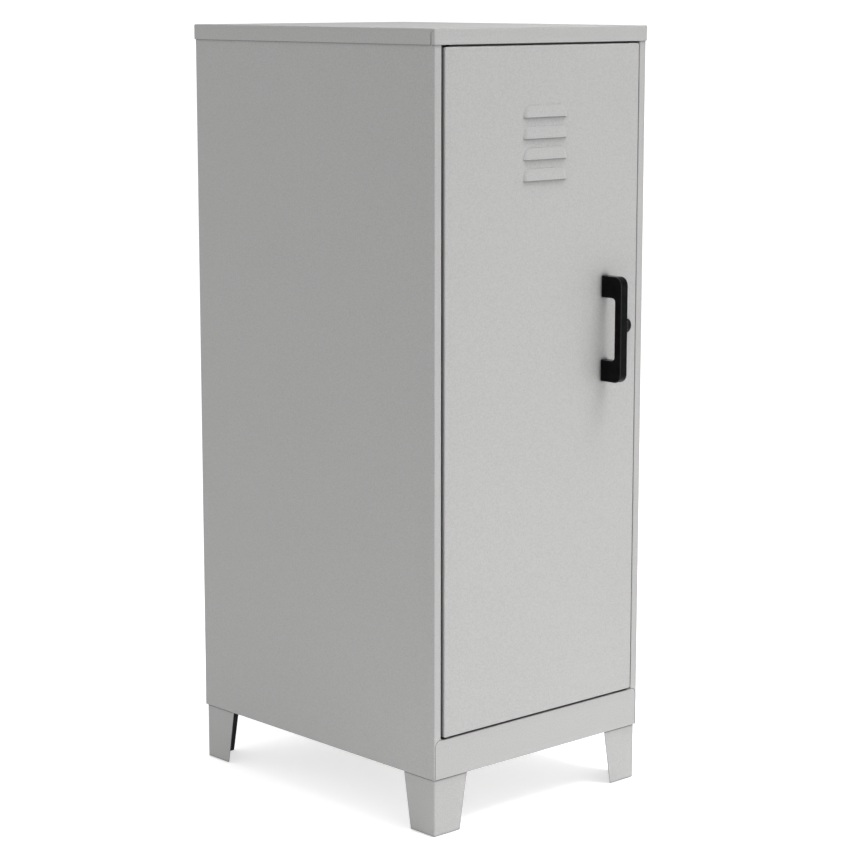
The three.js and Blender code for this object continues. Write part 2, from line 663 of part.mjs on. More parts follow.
// Bow handle: two posts and a bar, one moulding, with blind screw bores in the posts.
function handle() {
  const halfLength = HANDLE_LENGTH / 2;
  const back = doorFace - GAP;
  const outline = new THREE.Shape();
  outline.moveTo(back, -halfLength);
  outline.lineTo(back, -halfLength + HANDLE_POST);
  outline.lineTo(handleFront + HANDLE_BAR + HANDLE_INNER_RADIUS, -halfLength + HANDLE_POST);
  outline.absarc(
    handleFront + HANDLE_BAR + HANDLE_INNER_RADIUS, -halfLength + HANDLE_POST + HANDLE_INNER_RADIUS,
    HANDLE_INNER_RADIUS, -Math.PI / 2, -Math.PI, true,
  );
  outline.absarc(
    handleFront + HANDLE_BAR + HANDLE_INNER_RADIUS, halfLength - HANDLE_POST - HANDLE_INNER_RADIUS,
    HANDLE_INNER_RADIUS, Math.PI, Math.PI / 2, true,
  );
  outline.lineTo(back, halfLength - HANDLE_POST);
  outline.lineTo(back, halfLength);
  outline.absarc(
    handleFront + HANDLE_OUTER_RADIUS, halfLength - HANDLE_OUTER_RADIUS,
    HANDLE_OUTER_RADIUS, Math.PI / 2, Math.PI, false,
  );
  outline.absarc(
    handleFront + HANDLE_OUTER_RADIUS, -halfLength + HANDLE_OUTER_RADIUS,
    HANDLE_OUTER_RADIUS, Math.PI, Math.PI * 1.5, false,
  );
  outline.closePath();
  const half = HANDLE_WIDTH / 2 - HANDLE_ROUND;
  const bow = crosswise(outline, HANDLE_X - half, HANDLE_X + half, {
    bevelEnabled: true,
    bevelSize: HANDLE_ROUND,
    bevelThickness: HANDLE_ROUND,
    bevelOffset: -HANDLE_ROUND,
    bevelSegments: 2,
  }).translate(0, 0, HANDLE_Z);
  const bores = [-1, 1].map((end) => crossRod(
    HANDLE_BORE_RADIUS, HANDLE_X, HANDLE_Z + end * HANDLE_SCREW_SPREAD / 2,
    doorFace - HANDLE_BORE_DEPTH, doorFace + OVERCUT, SCREW_SEGMENTS,
  ));
  return cut(bow, ...bores);
}

// Machine screw from inside the door into one of the handle's posts.
function handleScrew(end) {
  const head = doorFace + SHEET + GAP;
  return turned([
    [0, head - 14], [2, head - 14], [2, head], [4, head],
    [4, head + 1.6], [3, head + 2.6], [0, head + 2.6],
  ], 'y', SCREW_SEGMENTS).translate(HANDLE_X, 0, HANDLE_Z + end * HANDLE_SCREW_SPREAD / 2);
}

// ---- Lock ---------------------------------------------------------------------------------

function lockHousing() {
  const back = doorFace - GAP;
  const bore = PLUG_RADIUS + GAP;
  return turned([
    [bore, back - BEZEL_PROUD], [BEZEL_RADIUS - BEZEL_BEVEL, back - BEZEL_PROUD],
    [BEZEL_RADIUS, back - BEZEL_PROUD + BEZEL_BEVEL], [BEZEL_RADIUS, back], [BARREL_RADIUS, back],
    [BARREL_RADIUS, barrelBack], [bore, barrelBack], [bore, back - BEZEL_PROUD],
  ], 'y').translate(LOCK_X, 0, LOCK_Z);
}

function lockNut() {
  const hexagon = new THREE.Shape(Array.from({ length: 6 }, (_, i) => new THREE.Vector2(
    NUT_RADIUS * Math.cos((i * Math.PI) / 3), NUT_RADIUS * Math.sin((i * Math.PI) / 3),
  )));
  hexagon.holes.push(new THREE.Path().absarc(0, 0, BARREL_RADIUS + GAP, 0, 2 * Math.PI, true));
  const near = doorFace + SHEET + GAP;
  const nut = lengthwise(hexagon, near, near + NUT_HEIGHT, { curveSegments: ROUND_SEGMENTS });
  return nut.translate(LOCK_X, 0, LOCK_Z);
}

// Turning core with the key slot in its face and the cam's seat on its back end.
function lockPlug() {
  const face = doorFace - GAP - BEZEL_PROUD + 0.6;
  const shoulder = barrelBack + 0.2;
  const end = camFront + CAM_SHEET;
  const core = turned([
    [0, face], [PLUG_RADIUS - 0.4, face], [PLUG_RADIUS, face + 0.4], [PLUG_RADIUS, shoulder],
    [PLUG_SHANK_RADIUS, shoulder], [PLUG_SHANK_RADIUS, end], [0, end],
  ], 'y').translate(LOCK_X, 0, LOCK_Z);
  const keySlot = block(
    LOCK_X - KEY_SLOT_HALF_WIDTH, LOCK_X + KEY_SLOT_HALF_WIDTH, face - OVERCUT, face + KEY_SLOT_DEPTH,
    LOCK_Z - KEY_SLOT_HALF_HEIGHT, LOCK_Z + KEY_SLOT_HALF_HEIGHT,
  );
  const screwBore = crossRod(CAM_BORE_RADIUS, LOCK_X, LOCK_Z, end - 7, end + OVERCUT, SCREW_SEGMENTS);
  return cut(core, keySlot, screwBore);
}

// Flat arm that hangs down when unlocked and turns behind the stop flange when locked.
function lockCam() {
  const half = CAM_WIDTH / 2;
  const outline = new THREE.Shape();
  outline.moveTo(half, 0);
  outline.absarc(0, 0, half, 0, Math.PI);
  outline.lineTo(-half + 2, -CAM_LENGTH + 2);
  outline.lineTo(-half + 4, -CAM_LENGTH);
  outline.lineTo(half - 4, -CAM_LENGTH);
  outline.lineTo(half - 2, -CAM_LENGTH + 2);
  outline.closePath();
  outline.holes.push(new THREE.Path().absarc(0, 0, PLUG_SHANK_RADIUS + GAP, 0, 2 * Math.PI, true));
  const arm = lengthwise(outline, camFront, camFront + CAM_SHEET, { curveSegments: ROUND_SEGMENTS / 2 });
  return arm.translate(LOCK_X, 0, LOCK_Z);
}

function camScrew() {
  const head = camFront + CAM_SHEET + GAP;
  return turned([
    [0, head - 6], [1.5, head - 6], [1.5, head], [5, head],
    [5, head + 1.4], [4, head + 2.3], [0, head + 2.3],
  ], 'y', SCREW_SEGMENTS).translate(LOCK_X, 0, LOCK_Z);
}

// ---- Hinge and door stops -----------------------------------------------------------------

function topHingePin() {
  const seat = HEADER_BOTTOM + SHEET + GAP;
  return turned([
    [0, doorTop - 7], [PIN_RADIUS - 0.8, doorTop - 7], [PIN_RADIUS, doorTop - 6], [PIN_RADIUS, seat],
    [PIN_HEAD_RADIUS, seat], [PIN_HEAD_RADIUS, seat + 1.6], [0, seat + 1.6],
  ]).translate(hingeX, hingeY, 0);
}

function bottomHingePin() {
  const collar = railTop + GAP;
  return turned([
    [0, railTop - SHEET + 0.1], [PIN_RADIUS, railTop - SHEET + 0.1], [PIN_RADIUS, collar],
    [PIN_HEAD_RADIUS, collar], [PIN_HEAD_RADIUS, collar + 0.8], [PIN_RADIUS, collar + 0.8],
    [PIN_RADIUS, doorBottom + 5], [PIN_RADIUS - 0.8, doorBottom + 6], [0, doorBottom + 6],
  ]).translate(hingeX, hingeY, 0);
}

// Flanged bush in the door's end flange: face is the flange's outside, up is +1 at the top.
function hingeBush(face, up) {
  const bore = PIN_RADIUS + GAP;
  const near = face + up * GAP;
  const profile = [
    [bore, near + up * 0.8], [bore, face - up * 4], [BUSH_RADIUS, face - up * 4], [BUSH_RADIUS, near],
    [BUSH_FLANGE_RADIUS, near], [BUSH_FLANGE_RADIUS, near + up * 0.8], [bore, near + up * 0.8],
  ];
  return turned(up > 0 ? profile : profile.reverse()).translate(hingeX, hingeY, 0);
}

function doorBumper(z) {
  return crossRod(BUMPER_RADIUS, stopX, z, doorBack + GAP, stopFace - GAP);
}

function magneticCatch() {
  return block(
    stopX - CATCH_WIDTH / 2, stopX + CATCH_WIDTH / 2, doorBack + GAP, stopFace - GAP,
    CATCH_Z - CATCH_LENGTH / 2, CATCH_Z + CATCH_LENGTH / 2,
  );
}

// ---- Assembly -----------------------------------------------------------------------------

const cabinet = new THREE.Group();
cabinet.position.y = bodyShift;

function addPart(name, geometry, finish) {
  const mesh = new THREE.Mesh(geometry, new THREE.MeshStandardMaterial(FINISH[finish]));
  mesh.name = name;
  cabinet.add(mesh);
}

addPart('lid', lid(), 'powderCoat');
addPart('left_side_panel', mirrored(rightSidePanel(false)), 'powderCoat');
addPart('right_side_panel', rightSidePanel(true), 'powderCoat');
addPart('back_panel', backPanel(), 'powderCoat');
addPart('top_rail', topRail(), 'powderCoat');
addPart('base_rail', baseRail(), 'powderCoat');
addPart('floor_pan', floorPan(), 'powderCoat');

CORNERS.forEach(({ name, sx, sy }) => {
  addPart(`leg_${name}`, placedAtCorner(leg(), sx, sy), 'powderCoat');
  addPart(`leg_glide_${name}`, placedAtCorner(legGlide(), sx, sy), 'legPlastic');
});
legScrewPlaces().forEach((place) => addPart(place.name, legScrew(place), 'zinc'));

Object.entries(STANDARD_Y).forEach(([end, y]) => {
  addPart(`shelf_standard_${end}_left`, mirrored(shelfStandard(y)), 'powderCoat');
  addPart(`shelf_standard_${end}_right`, shelfStandard(y), 'powderCoat');
});
Object.entries(SHELF_SLOTS).forEach(([level, slot]) => {
  addPart(`shelf_${level}`, shelf(slot), 'powderCoat');
  Object.entries(STANDARD_Y).forEach(([end, y]) => {
    addPart(`shelf_clip_${level}_${end}_left`, mirrored(shelfClip(y, slot)), 'zinc');
    addPart(`shelf_clip_${level}_${end}_right`, shelfClip(y, slot), 'zinc');
  });
});

addPart('door_panel', doorPanel(), 'powderCoat');
addPart('door_stiffener', doorStiffener(), 'powderCoat');
addPart('handle', handle(), 'blackPlastic');
addPart('handle_screw_upper', handleScrew(1), 'zinc');
addPart('handle_screw_lower', handleScrew(-1), 'zinc');

addPart('lock_housing', lockHousing(), 'blackPlastic');
addPart('lock_nut', lockNut(), 'zinc');
addPart('lock_plug', lockPlug(), 'blackPlastic');
addPart('lock_cam', lockCam(), 'zinc');
addPart('lock_cam_screw', camScrew(), 'zinc');

addPart('hinge_pin_top', topHingePin(), 'zinc');
addPart('hinge_pin_bottom', bottomHingePin(), 'zinc');
addPart('hinge_bush_top', hingeBush(doorTop, 1), 'nylon');
addPart('hinge_bush_bottom', hingeBush(doorBottom, -1), 'nylon');
addPart('door_bumper_upper', doorBumper(BUMPER_Z.upper), 'rubber');
addPart('door_bumper_lower', doorBumper(BUMPER_Z.lower), 'rubber');
addPart('magnetic_catch', magneticCatch(), 'rubber');

const locker = new THREE.Group();
locker.add(cabinet);

export default locker;
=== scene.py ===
"""Looks of a single-door steel locker cabinet on angle legs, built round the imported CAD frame.

Metres, in the frame of the CAD model: X across the front, +Y to the back, +Z up.
"""
import json
import math
from collections import namedtuple

import bmesh
import bpy
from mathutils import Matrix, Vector


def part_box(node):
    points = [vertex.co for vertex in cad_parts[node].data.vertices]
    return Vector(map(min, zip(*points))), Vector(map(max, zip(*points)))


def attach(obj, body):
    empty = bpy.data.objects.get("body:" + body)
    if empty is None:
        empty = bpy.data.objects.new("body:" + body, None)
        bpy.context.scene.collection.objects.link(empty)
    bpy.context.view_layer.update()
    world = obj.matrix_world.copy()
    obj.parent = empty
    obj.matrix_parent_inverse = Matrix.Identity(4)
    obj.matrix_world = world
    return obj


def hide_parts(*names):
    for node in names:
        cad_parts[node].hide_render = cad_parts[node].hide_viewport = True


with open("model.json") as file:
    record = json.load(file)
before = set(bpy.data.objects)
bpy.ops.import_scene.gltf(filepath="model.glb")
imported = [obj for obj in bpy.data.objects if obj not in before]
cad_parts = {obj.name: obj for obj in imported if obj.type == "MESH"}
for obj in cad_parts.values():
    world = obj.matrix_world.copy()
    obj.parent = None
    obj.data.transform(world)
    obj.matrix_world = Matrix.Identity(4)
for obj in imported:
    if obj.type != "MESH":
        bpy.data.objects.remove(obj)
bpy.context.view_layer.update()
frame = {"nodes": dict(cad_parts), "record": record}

MM = 0.001

# ---- Sheet metal ---------------------------------------------------------------------------

SHEET = 0.8 * MM
LEG_SHEET = 1.5 * MM
GAP = 0.3 * MM
RAIL_GROOVE = 0.6 * MM       # round the base rail's ends, in the side sheets
STOP_LIP = 12 * MM           # height of the rails' lips behind the door
FOLD = 1.6 * MM              # outside radius of every fold
MID_FOLD = FOLD - SHEET / 2
FOLD_STEPS = 5
SHARP = math.radians(32)     # steeper edges stay crisp
SOFT_CORNER = math.radians(50)       # edges at least this steep are softened
EDGE_ROUND = 0.14 * MM       # softened edges of cut sheet
WELD = 0.002 * MM
FLAT = math.radians(1)       # CAD faces this close to one plane are joined

LID_SEAM = 6.2 * MM          # middle of the corner seam, behind the lid's front face
LID_SEAM_HALF = 0.42 * MM
LID_SLIT_TOP = 1.9 * MM      # where the slit from the seam ends, near the lid's top corner
LID_SLIT_DEPTH = 5.6 * MM    # where the slit leaves the upright seam, below the lid's top
LID_TIP_ROUND = 2.2 * MM
LID_TIP_STEPS = (0.35, 0.7, 1.0)     # grid lines over that rounding

STOP_FLANGE = 9 * MM
STILE_DEPTH = 18 * MM
STILE_WIDTH = 11.5 * MM
REAR_FLANGE = 14.7 * MM
RAIL_CORNER = 8 * MM
RAIL_CORNER_ANGLES = [math.radians(a) for a in range(15, 91, 15)]
RAIL_END = 9.6 * MM          # flat plate at each end, beyond the folded part
STOP_LIP_INSET = 9 * MM      # its lip ends this far short of the folded part on the lock side
HINGE_SWEEP = 17 * MM        # and this far from the hinge axis on the other side

DOOR_CORNER = 3 * MM
DOOR_RETURN = 9.6 * MM
DOOR_DEPTH = 16 * MM
DOOR_GRID = 100 * MM         # a grid line on each side of the louvers, from the middle
DOOR_PLAIN = 300 * MM        # a plain place on the door's face, above its bottom edge

LOUVER_COUNT = 4
LOUVER_PITCH = 25.4 * MM
LOUVER_BELOW_TOP = 85.4 * MM         # uppermost lip, below the door's top edge
LOUVER_HEIGHT = 14 * MM
LOUVER_LIP_HALF = 37.5 * MM
LOUVER_TOP_HALF = 32.5 * MM
LOUVER_PROUD = 2.4 * MM
LOUVER_SAG = 0.1                     # of the slope from lip to top; 0 would be straight
LOUVER_CREASE = 0.45 * MM            # step round the hood
LOUVER_CREASE_PART = 0.2             # of the side's width, over which that step rises
LOUVER_SIDE = 5.5 * MM               # the hood's ends rise over this width
LOUVER_CORNER = 6 * MM
LOUVER_LIP_FLARE = 0.35 * MM
LOUVER_LIP_ZONE = 1.3 * MM
# Grid lines over a hood in mm: inwards from the lip's ends, and up from the lip.
LOUVER_GRID_IN = (0, 0.6, 1.2, 1.9, 2.6, 3.4, 4.2, 5.1, 6, 7, 8, 9.2, 10.5, 12, 14, 16.5, 19)
LOUVER_GRID_UP = (
    0, 0.35, 0.7, 1.1, 1.6, 2.4, 3.6, 5, 6.5, 8, 9.2, 10.2, 11.1, 11.9, 12.6, 13.2, 13.7, 14,
)

SHELF_RETURN = 10 * MM

LEG_TOP_WIDTH = 55 * MM
LEG_FOOT_WIDTH = 43 * MM
LEG_FOLD = 1.6 * MM          # at the middle of the sheet
LEG_FOLD_STEPS = 6
LEG_PLATE = 45 * MM
LEG_SEAM = 1.6 * MM          # a leg's flanges end this far below its screw plate's face
LEG_EDGE_ROUND = 0.25 * MM

# ---- Fittings ------------------------------------------------------------------------------

HANDLE_BAR = 11 * MM
HANDLE_POST = 27 * MM
HANDLE_OUTER_RADIUS = 11 * MM
HANDLE_INNER_RADIUS = 5 * MM
HANDLE_OUTER_STEPS = 14
HANDLE_INNER_STEPS = 8
HANDLE_ROUND = 0.8 * MM
HANDLE_ROUND_STEPS = 6
HANDLE_EDGE_ROUND = 0.3 * MM
HANDLE_MITRE = 0.5           # keeps the rounding's points in at sharp corners

TURN_SEGMENTS = 56

LOCK_PROUD = 4 * MM
LOCK_BARREL = 8 * MM         # radii of the barrel, its bore, the core and the core's shank
LOCK_BORE = 5.8 * MM
LOCK_CORE = 5.5 * MM
LOCK_SHANK = 4 * MM
LOCK_SHANK_LENGTH = 3 * MM
LOCK_BEZEL_ROUND = 1.6 * MM
LOCK_BEZEL_STEPS = 6
LOCK_CORE_ROUND = 0.5 * MM
# The bezel's bevel round the bore: outwards from the bore, and back from the face.
LOCK_BEVEL = ((0, 0.7 * MM), (0.5 * MM, 0.12 * MM), (0.9 * MM, 0))
KEY_SLOT_HALF_WIDTH = 0.7 * MM
KEY_SLOT_HALF_HEIGHT = 3.3 * MM
KEY_SLOT_DEPTH = 7 * MM

SCREW_CROWN_STEPS = (0.55, 0.68, 0.8, 0.9, 0.97)     # radii on the crown, as parts of the head's
SCREW_CROWN_CURVE = 0.92
SCREW_CROWN_HEIGHT = 0.55 / 0.61     # of the crown's ball, as a part of the head's height
SCREW_RIM = 0.72             # where the head's side starts, as a part of its height
SCREW_TIP = 1 * MM
SCREW_TIP_PART = 0.7         # of the shank's radius, at the tip
CROSS_SIZE = 0.5             # of the head's radius
CROSS_ARM = 0.32             # half width of a recess's arm, as a part of its reach
CROSS_DEPTH = 0.6            # of the head's height
RECESS_FLOOR = 0.8           # a recess narrows to this part at its floor

# ---- Camera and light ----------------------------------------------------------------------

CAMERA_HEADING = 42.437      # from +Y towards +X
CAMERA_PITCH = 9.923         # below the horizon
CAMERA_DISTANCE = 3.2387
CAMERA_TARGET = Vector((0.0, 0.0033, 0.4639))
CAMERA_LENS = 105.65
SENSOR_WIDTH = 36.0


# ---- Materials -----------------------------------------------------------------------------

RAYS = 4                     # samples of the materials' own edge and crevice rays
EDGE_TURN = (0.75, 0.995)    # cosines between a rounded and a true surface: full edge mark (wear on powder_coat, painted highlight on black_gloss and black_lock), flat face
OPEN_AIR = (0.35, 0.92)      # unhindered part of the surroundings: deep crevice, open surface
SEAM_SHADE_REACH = 4 * MM          # how far from a seam or a tight corner the painted shade reaches
# Each finish's plain and marked colours, linear. A third one is a painted shade colour for seam gaps
# and tight corners.
COLOURS = {
    "powder_coat": ((0.337, 0.336, 0.333), (0.383, 0.382, 0.378), (0.03, 0.03, 0.029)),
    # black_gloss: its marked colour is mostly a painted highlight along edges
    "black_gloss": ((0.0007, 0.0007, 0.0008), (0.15, 0.15, 0.154)),
    "black_matte": ((0.0035, 0.0035, 0.0038), (0.0080, 0.0080, 0.0085)),
    # black_lock: its marked colour is mostly a painted highlight along edges
    "black_lock": ((0.003, 0.003, 0.0033), (0.08, 0.08, 0.082)),
    "zinc": ((0.47, 0.47, 0.46), (0.70, 0.71, 0.72), (0.04, 0.04, 0.038)),
    "nylon": ((0.006, 0.006, 0.0065), (0.013, 0.013, 0.0135)),
    "rubber": ((0.012, 0.012, 0.012), (0.033, 0.032, 0.031)),
}


def add_node(tree, kind, inputs=None, **settings):
    """A shader node. Each input is a socket to link or a value."""
    made = tree.nodes.new(kind)
    for key, value in settings.items():
        setattr(made, key, value)
    for key, value in (inputs or {}).items():
        if isinstance(value, bpy.types.NodeSocket):
            tree.links.new(value, made.inputs[key])
        else:
            made.inputs[key].default_value = value
    return made


class Finish:
    """A procedural material, measured in metres on the piece it covers."""

    def __init__(self, name, **constants):
        self.material = bpy.data.materials.new(name)
        self.material.use_nodes = True
        self.tree = self.material.node_tree
        self.shader = self.tree.nodes["Principled BSDF"]
        # seam is the painted shade colour, for finishes that have one
        self.plain, self.marked, *self.seam = COLOURS[name]
        self.place = self.node("ShaderNodeTexCoord").outputs["Object"]
        for socket, value in constants.items():
            self.shader.inputs[socket.replace("_", " ")].default_value = value

    def node(self, kind, inputs=None, **settings):
        return add_node(self.tree, kind, inputs, **settings)

    def stretched(self, scale):
        """The piece's own coordinates, squeezed or stretched along each axis."""
        return self.node("ShaderNodeMapping", {"Vector": self.place, "Scale": scale}).outputs[0]

    def noise(self, size, detail=2.0, rough=0.5, place=None):
        """Noise with features of about that size, from 0 to 1."""
        return self.node("ShaderNodeTexNoise", {
            "Vector": place or self.place, "Scale": 1 / size, "Detail": detail, "Roughness": rough,
        }).outputs["Fac"]

    def cells(self, size):
        """Distance to the nearest of scattered points, in units of their spacing."""
        return self.node("ShaderNodeTexVoronoi", {
            "Vector": self.place, "Scale": 1 / size,
        }).outputs["Distance"]

    def span(self, value, low, high, start=0.0, end=1.0):
        return self.node("ShaderNodeMapRange", {
            "Value": value, "From Min": start, "From Max": end, "To Min": low, "To Max": high,
        }).outputs[0]

    def sum(self, first, second):
        return self.node("ShaderNodeMath", {0: first, 1: second}, operation="ADD").outputs[0]

    def mix(self, factor, first, second):
        inputs = {0: factor, 6: first, 7: second}
        return self.node("ShaderNodeMix", inputs, data_type="RGBA").outputs[2]

    def colour(self, marks):
        """From the plain colour at 0 to the marked one at 1."""
        return self.mix(marks, (*self.plain, 1), (*self.marked, 1))

    def painted_seam_shade(self, colour):
        """That colour with painted shade: darker where another surface is close."""
        return self.mix(self.painted_shade_mask(SEAM_SHADE_REACH), colour, (*self.seam[0], 1))

    def edges(self, radius):
        """0 on flat faces, up to 1 along sharp edges."""
        soft = self.node("ShaderNodeBevel", {"Radius": radius}, samples=RAYS).outputs["Normal"]
        hard = self.node("ShaderNodeNewGeometry").outputs["Normal"]
        dot = self.node("ShaderNodeVectorMath", {0: soft, 1: hard}, operation="DOT_PRODUCT")
        return self.span(dot.outputs["Value"], 1.0, 0.0, *EDGE_TURN)

    def painted_shade_mask(self, reach):
        """Where shade is painted: 0 out in the open, 1 deep in a seam or a tight corner."""
        rays = self.node("ShaderNodeAmbientOcclusion", {"Distance": reach}, samples=RAYS)
        return self.span(rays.outputs["AO"], 1.0, 0.0, *OPEN_AIR)

    def bump(self, height, depth, strength, under=None):
        inputs = {"Height": height, "Distance": depth, "Strength": strength}
        if under:
            inputs["Normal"] = under
        return self.node("ShaderNodeBump", inputs).outputs["Normal"]

    def finish(self, colour, roughness, normal):
        self.tree.links.new(colour, self.shader.inputs["Base Color"])
        self.tree.links.new(roughness, self.shader.inputs["Roughness"])
        self.tree.links.new(normal, self.shader.inputs["Normal"])
        return self.material


def powder_coat():
    """Baked light grey powder: orange peel, a fine speckle, glossier edges and painted shade in seam
    gaps and tight corners.
    """
    f = Finish("powder_coat", IOR=1.46, Specular_IOR_Level=0.35)
    clouds = f.span(f.noise(180 * MM, 2), -0.12, 0.12)
    speckle = f.span(f.noise(1.6 * MM, 3, 0.7), -0.3, 1.3, 0.32, 0.68)
    tone = f.sum(clouds, speckle)
    edge = f.edges(0.7 * MM)
    tone = f.sum(tone, f.span(edge, 0.0, 0.35))
    # painted shade: darker near seam gaps and tight corners
    colour = f.painted_seam_shade(f.colour(tone))
    gloss = f.sum(f.span(f.noise(60 * MM, 2), 0.43, 0.51), f.span(edge, 0.0, -0.07))
    peel = f.bump(f.noise(2.4 * MM, 2), 0.08 * MM, 0.5)
    return f.finish(colour, gloss, f.bump(f.noise(0.5 * MM, 1), 0.012 * MM, 0.4, peel))


def black_gloss():
    """Moulded black plastic with a polished, faintly rippled skin and a painted highlight along its
    edges.
    """
    f = Finish("black_gloss", IOR=1.5, Specular_IOR_Level=0.045)
    edge = f.edges(1.2 * MM)
    # the pale lines along the edges are a painted highlight
    tone = f.sum(f.span(f.noise(9 * MM, 3), 0.0, 0.04), f.span(edge, 0.0, 0.9))
    colour = f.colour(tone)
    smudges = f.span(f.noise(16 * MM, 4, 0.6), 0.13, 0.21, 0.35, 0.7)
    ripple = f.bump(f.noise(5 * MM, 2), 0.05 * MM, 0.25)
    return f.finish(colour, smudges, f.bump(f.noise(0.35 * MM, 2), 0.006 * MM, 0.5, ripple))


def black_matte():
    """Black glide plastic with a spark-eroded grain."""
    f = Finish("black_matte", IOR=1.48, Specular_IOR_Level=0.15)
    colour = f.colour(f.noise(3 * MM, 4, 0.65))
    gloss = f.span(f.noise(6 * MM, 3), 0.48, 0.62)
    return f.finish(colour, gloss, f.bump(f.cells(0.45 * MM), 0.05 * MM, 0.5))


def black_lock():
    """Blackened die casting: satin, with a painted highlight along its edges."""
    f = Finish("black_lock", Metallic=0.15, Specular_IOR_Level=0.12)
    edge = f.edges(0.5 * MM)
    # the paler edges are a painted highlight
    tone = f.sum(f.span(f.noise(2 * MM, 4), 0.0, 0.1), f.span(edge, 0.0, 0.9))
    colour = f.colour(tone)
    gloss = f.span(f.noise(1.5 * MM, 3), 0.24, 0.38)
    return f.finish(colour, gloss, f.bump(f.noise(0.3 * MM, 2), 0.01 * MM, 0.5))


def zinc():
    """Bright zinc plate, cloudy and finely brushed, with painted shade in tight places."""
    f = Finish("zinc", Metallic=1.0)
    cloudy = f.noise(7 * MM, 5, 0.6)
    brushed = f.noise(1 * MM, 4, 0.6, f.stretched((4.0, 4.0, 0.3)))
    # painted shade: darker where another surface is close
    colour = f.painted_seam_shade(f.colour(f.sum(f.span(cloudy, 0, 0.7), f.span(brushed, 0, 0.3))))
    gloss = f.span(cloudy, 0.26, 0.46)
    return f.finish(colour, gloss, f.bump(brushed, 0.02 * MM, 0.4))


def nylon():
    """Black nylon, faintly mottled, with a fine moulded grain."""
    f = Finish("nylon", IOR=1.53, Specular_IOR_Level=0.2)
    colour = f.colour(f.noise(3 * MM, 3))
    gloss = f.span(f.noise(2 * MM, 3), 0.38, 0.52)
    return f.finish(colour, gloss, f.bump(f.noise(0.6 * MM, 3), 0.02 * MM, 0.4))


def rubber():
    """Dark rubber with a dusty bloom."""
    f = Finish("rubber", IOR=1.5)
    colour = f.colour(f.noise(4 * MM, 5, 0.65))
    gloss = f.span(f.noise(3 * MM, 4), 0.7, 0.88)
    return f.finish(colour, gloss, f.bump(f.noise(0.4 * MM, 3), 0.04 * MM, 0.5))


FINISHES = {make.__name__: make() for make in (
    powder_coat, black_gloss, black_matte, black_lock, zinc, nylon, rubber,
)}


# ---- Making pieces -------------------------------------------------------------------------

BODY_OF = {
    node: body
    for body, members in frame["record"]["behaviour"]["bodies"].items()
    for node in members
}
SLOT_OF = {row["node"]: row["material_slot"] for row in frame["record"]["subparts"]}


def link(name, bm):
    mesh = bpy.data.meshes.new(name)
    bm.to_mesh(mesh)
    bm.free()
    obj = bpy.data.objects.new(name, mesh)
    bpy.context.scene.collection.objects.link(obj)
    return obj


def apply_modifiers(obj):
    evaluated = obj.evaluated_get(bpy.context.evaluated_depsgraph_get())
    solid = bpy.data.meshes.new_from_object(evaluated)
    obj.modifiers.clear()
    rough = obj.data
    obj.data = solid
    bpy.data.meshes.remove(rough)


def stand_for(node, name, bm, thickness=None, offset=0.0, soften=EDGE_ROUND):
    """Turns the bmesh into the piece that stands for that CAD node."""
    obj = link(name, bm)
    if thickness:
        wall = obj.modifiers.new("sheet", "SOLIDIFY")
        wall.thickness = thickness
        wall.offset = offset
        wall.use_even_offset = True
    if soften:
        bevel = obj.modifiers.new("soften", "BEVEL")
        bevel.width = soften
        bevel.segments = 2
        bevel.limit_method = "ANGLE"
        bevel.angle_limit = SOFT_CORNER
    apply_modifiers(obj)
    obj.data.shade_smooth()
    obj.data.set_sharp_from_angle(angle=SHARP)
    obj.data.materials.clear()
    obj.data.materials.append(FINISHES[SLOT_OF[node]])
    level = obj.modifiers.new("flat_faces", "WEIGHTED_NORMAL")
    level.keep_sharp = True
    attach(obj, BODY_OF[node])
    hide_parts(node)
    return obj


def lattice(bm, grid):
    """Faces between the rows of a grid of points. A None leaves a hole."""
    corners = [[bm.verts.new(p) if p else None for p in row] for row in grid]
    for row, following in zip(corners, corners[1:]):
        for quad in zip(row, row[1:], following[1:], following):
            if all(quad):
                bm.faces.new(quad)


def weld(bm):
    bmesh.ops.remove_doubles(bm, verts=bm.verts, dist=WELD)
    bmesh.ops.dissolve_degenerate(bm, edges=bm.edges, dist=WELD / 2)


def face_outwards(bm, outward, place):
    """Makes the faces agree, with a large face near to a place looking outwards."""
    bmesh.ops.recalc_face_normals(bm, faces=bm.faces)

    def distance(face):
        return (face.calc_center_median() - place).length - face.calc_area()

    nearest = min(bm.faces, key=distance)
    if nearest.normal.dot(outward) < 0:
        bmesh.ops.reverse_faces(bm, faces=bm.faces)


def arc(centre, radius, start, end, steps):
    """Points along an arc. Angles are in degrees."""
    angles = [math.radians(start + (end - start) * k / steps) for k in range(steps + 1)]
    return [(centre[0] + radius * math.cos(a), centre[1] + radius * math.sin(a)) for a in angles]


def folded_path(corners, radius=MID_FOLD, steps=FOLD_STEPS):
    """The middle of a bent sheet's thickness, from its corner points."""
    points = [Vector(c) for c in corners]
    path = [points[0]]
    for before, corner, after in zip(points, points[1:], points[2:]):
        towards = (corner - before).normalized()
        away = (after - corner).normalized()
        turn = abs(towards.angle_signed(away))
        reach = radius * math.tan(turn / 2)
        side = (away - towards * towards.dot(away)).normalized()
        for k in range(steps + 1):
            angle = turn * k / steps
            along = towards * (math.sin(angle) * radius)
            path.append(corner - towards * reach + along + side * (1 - math.cos(angle)) * radius)
    path.append(points[-1])
    return path


# ---- Pans: lid, door and shelves -------------------------------------------------------------

RimLine = namedtuple("RimLine", "u v heading side")


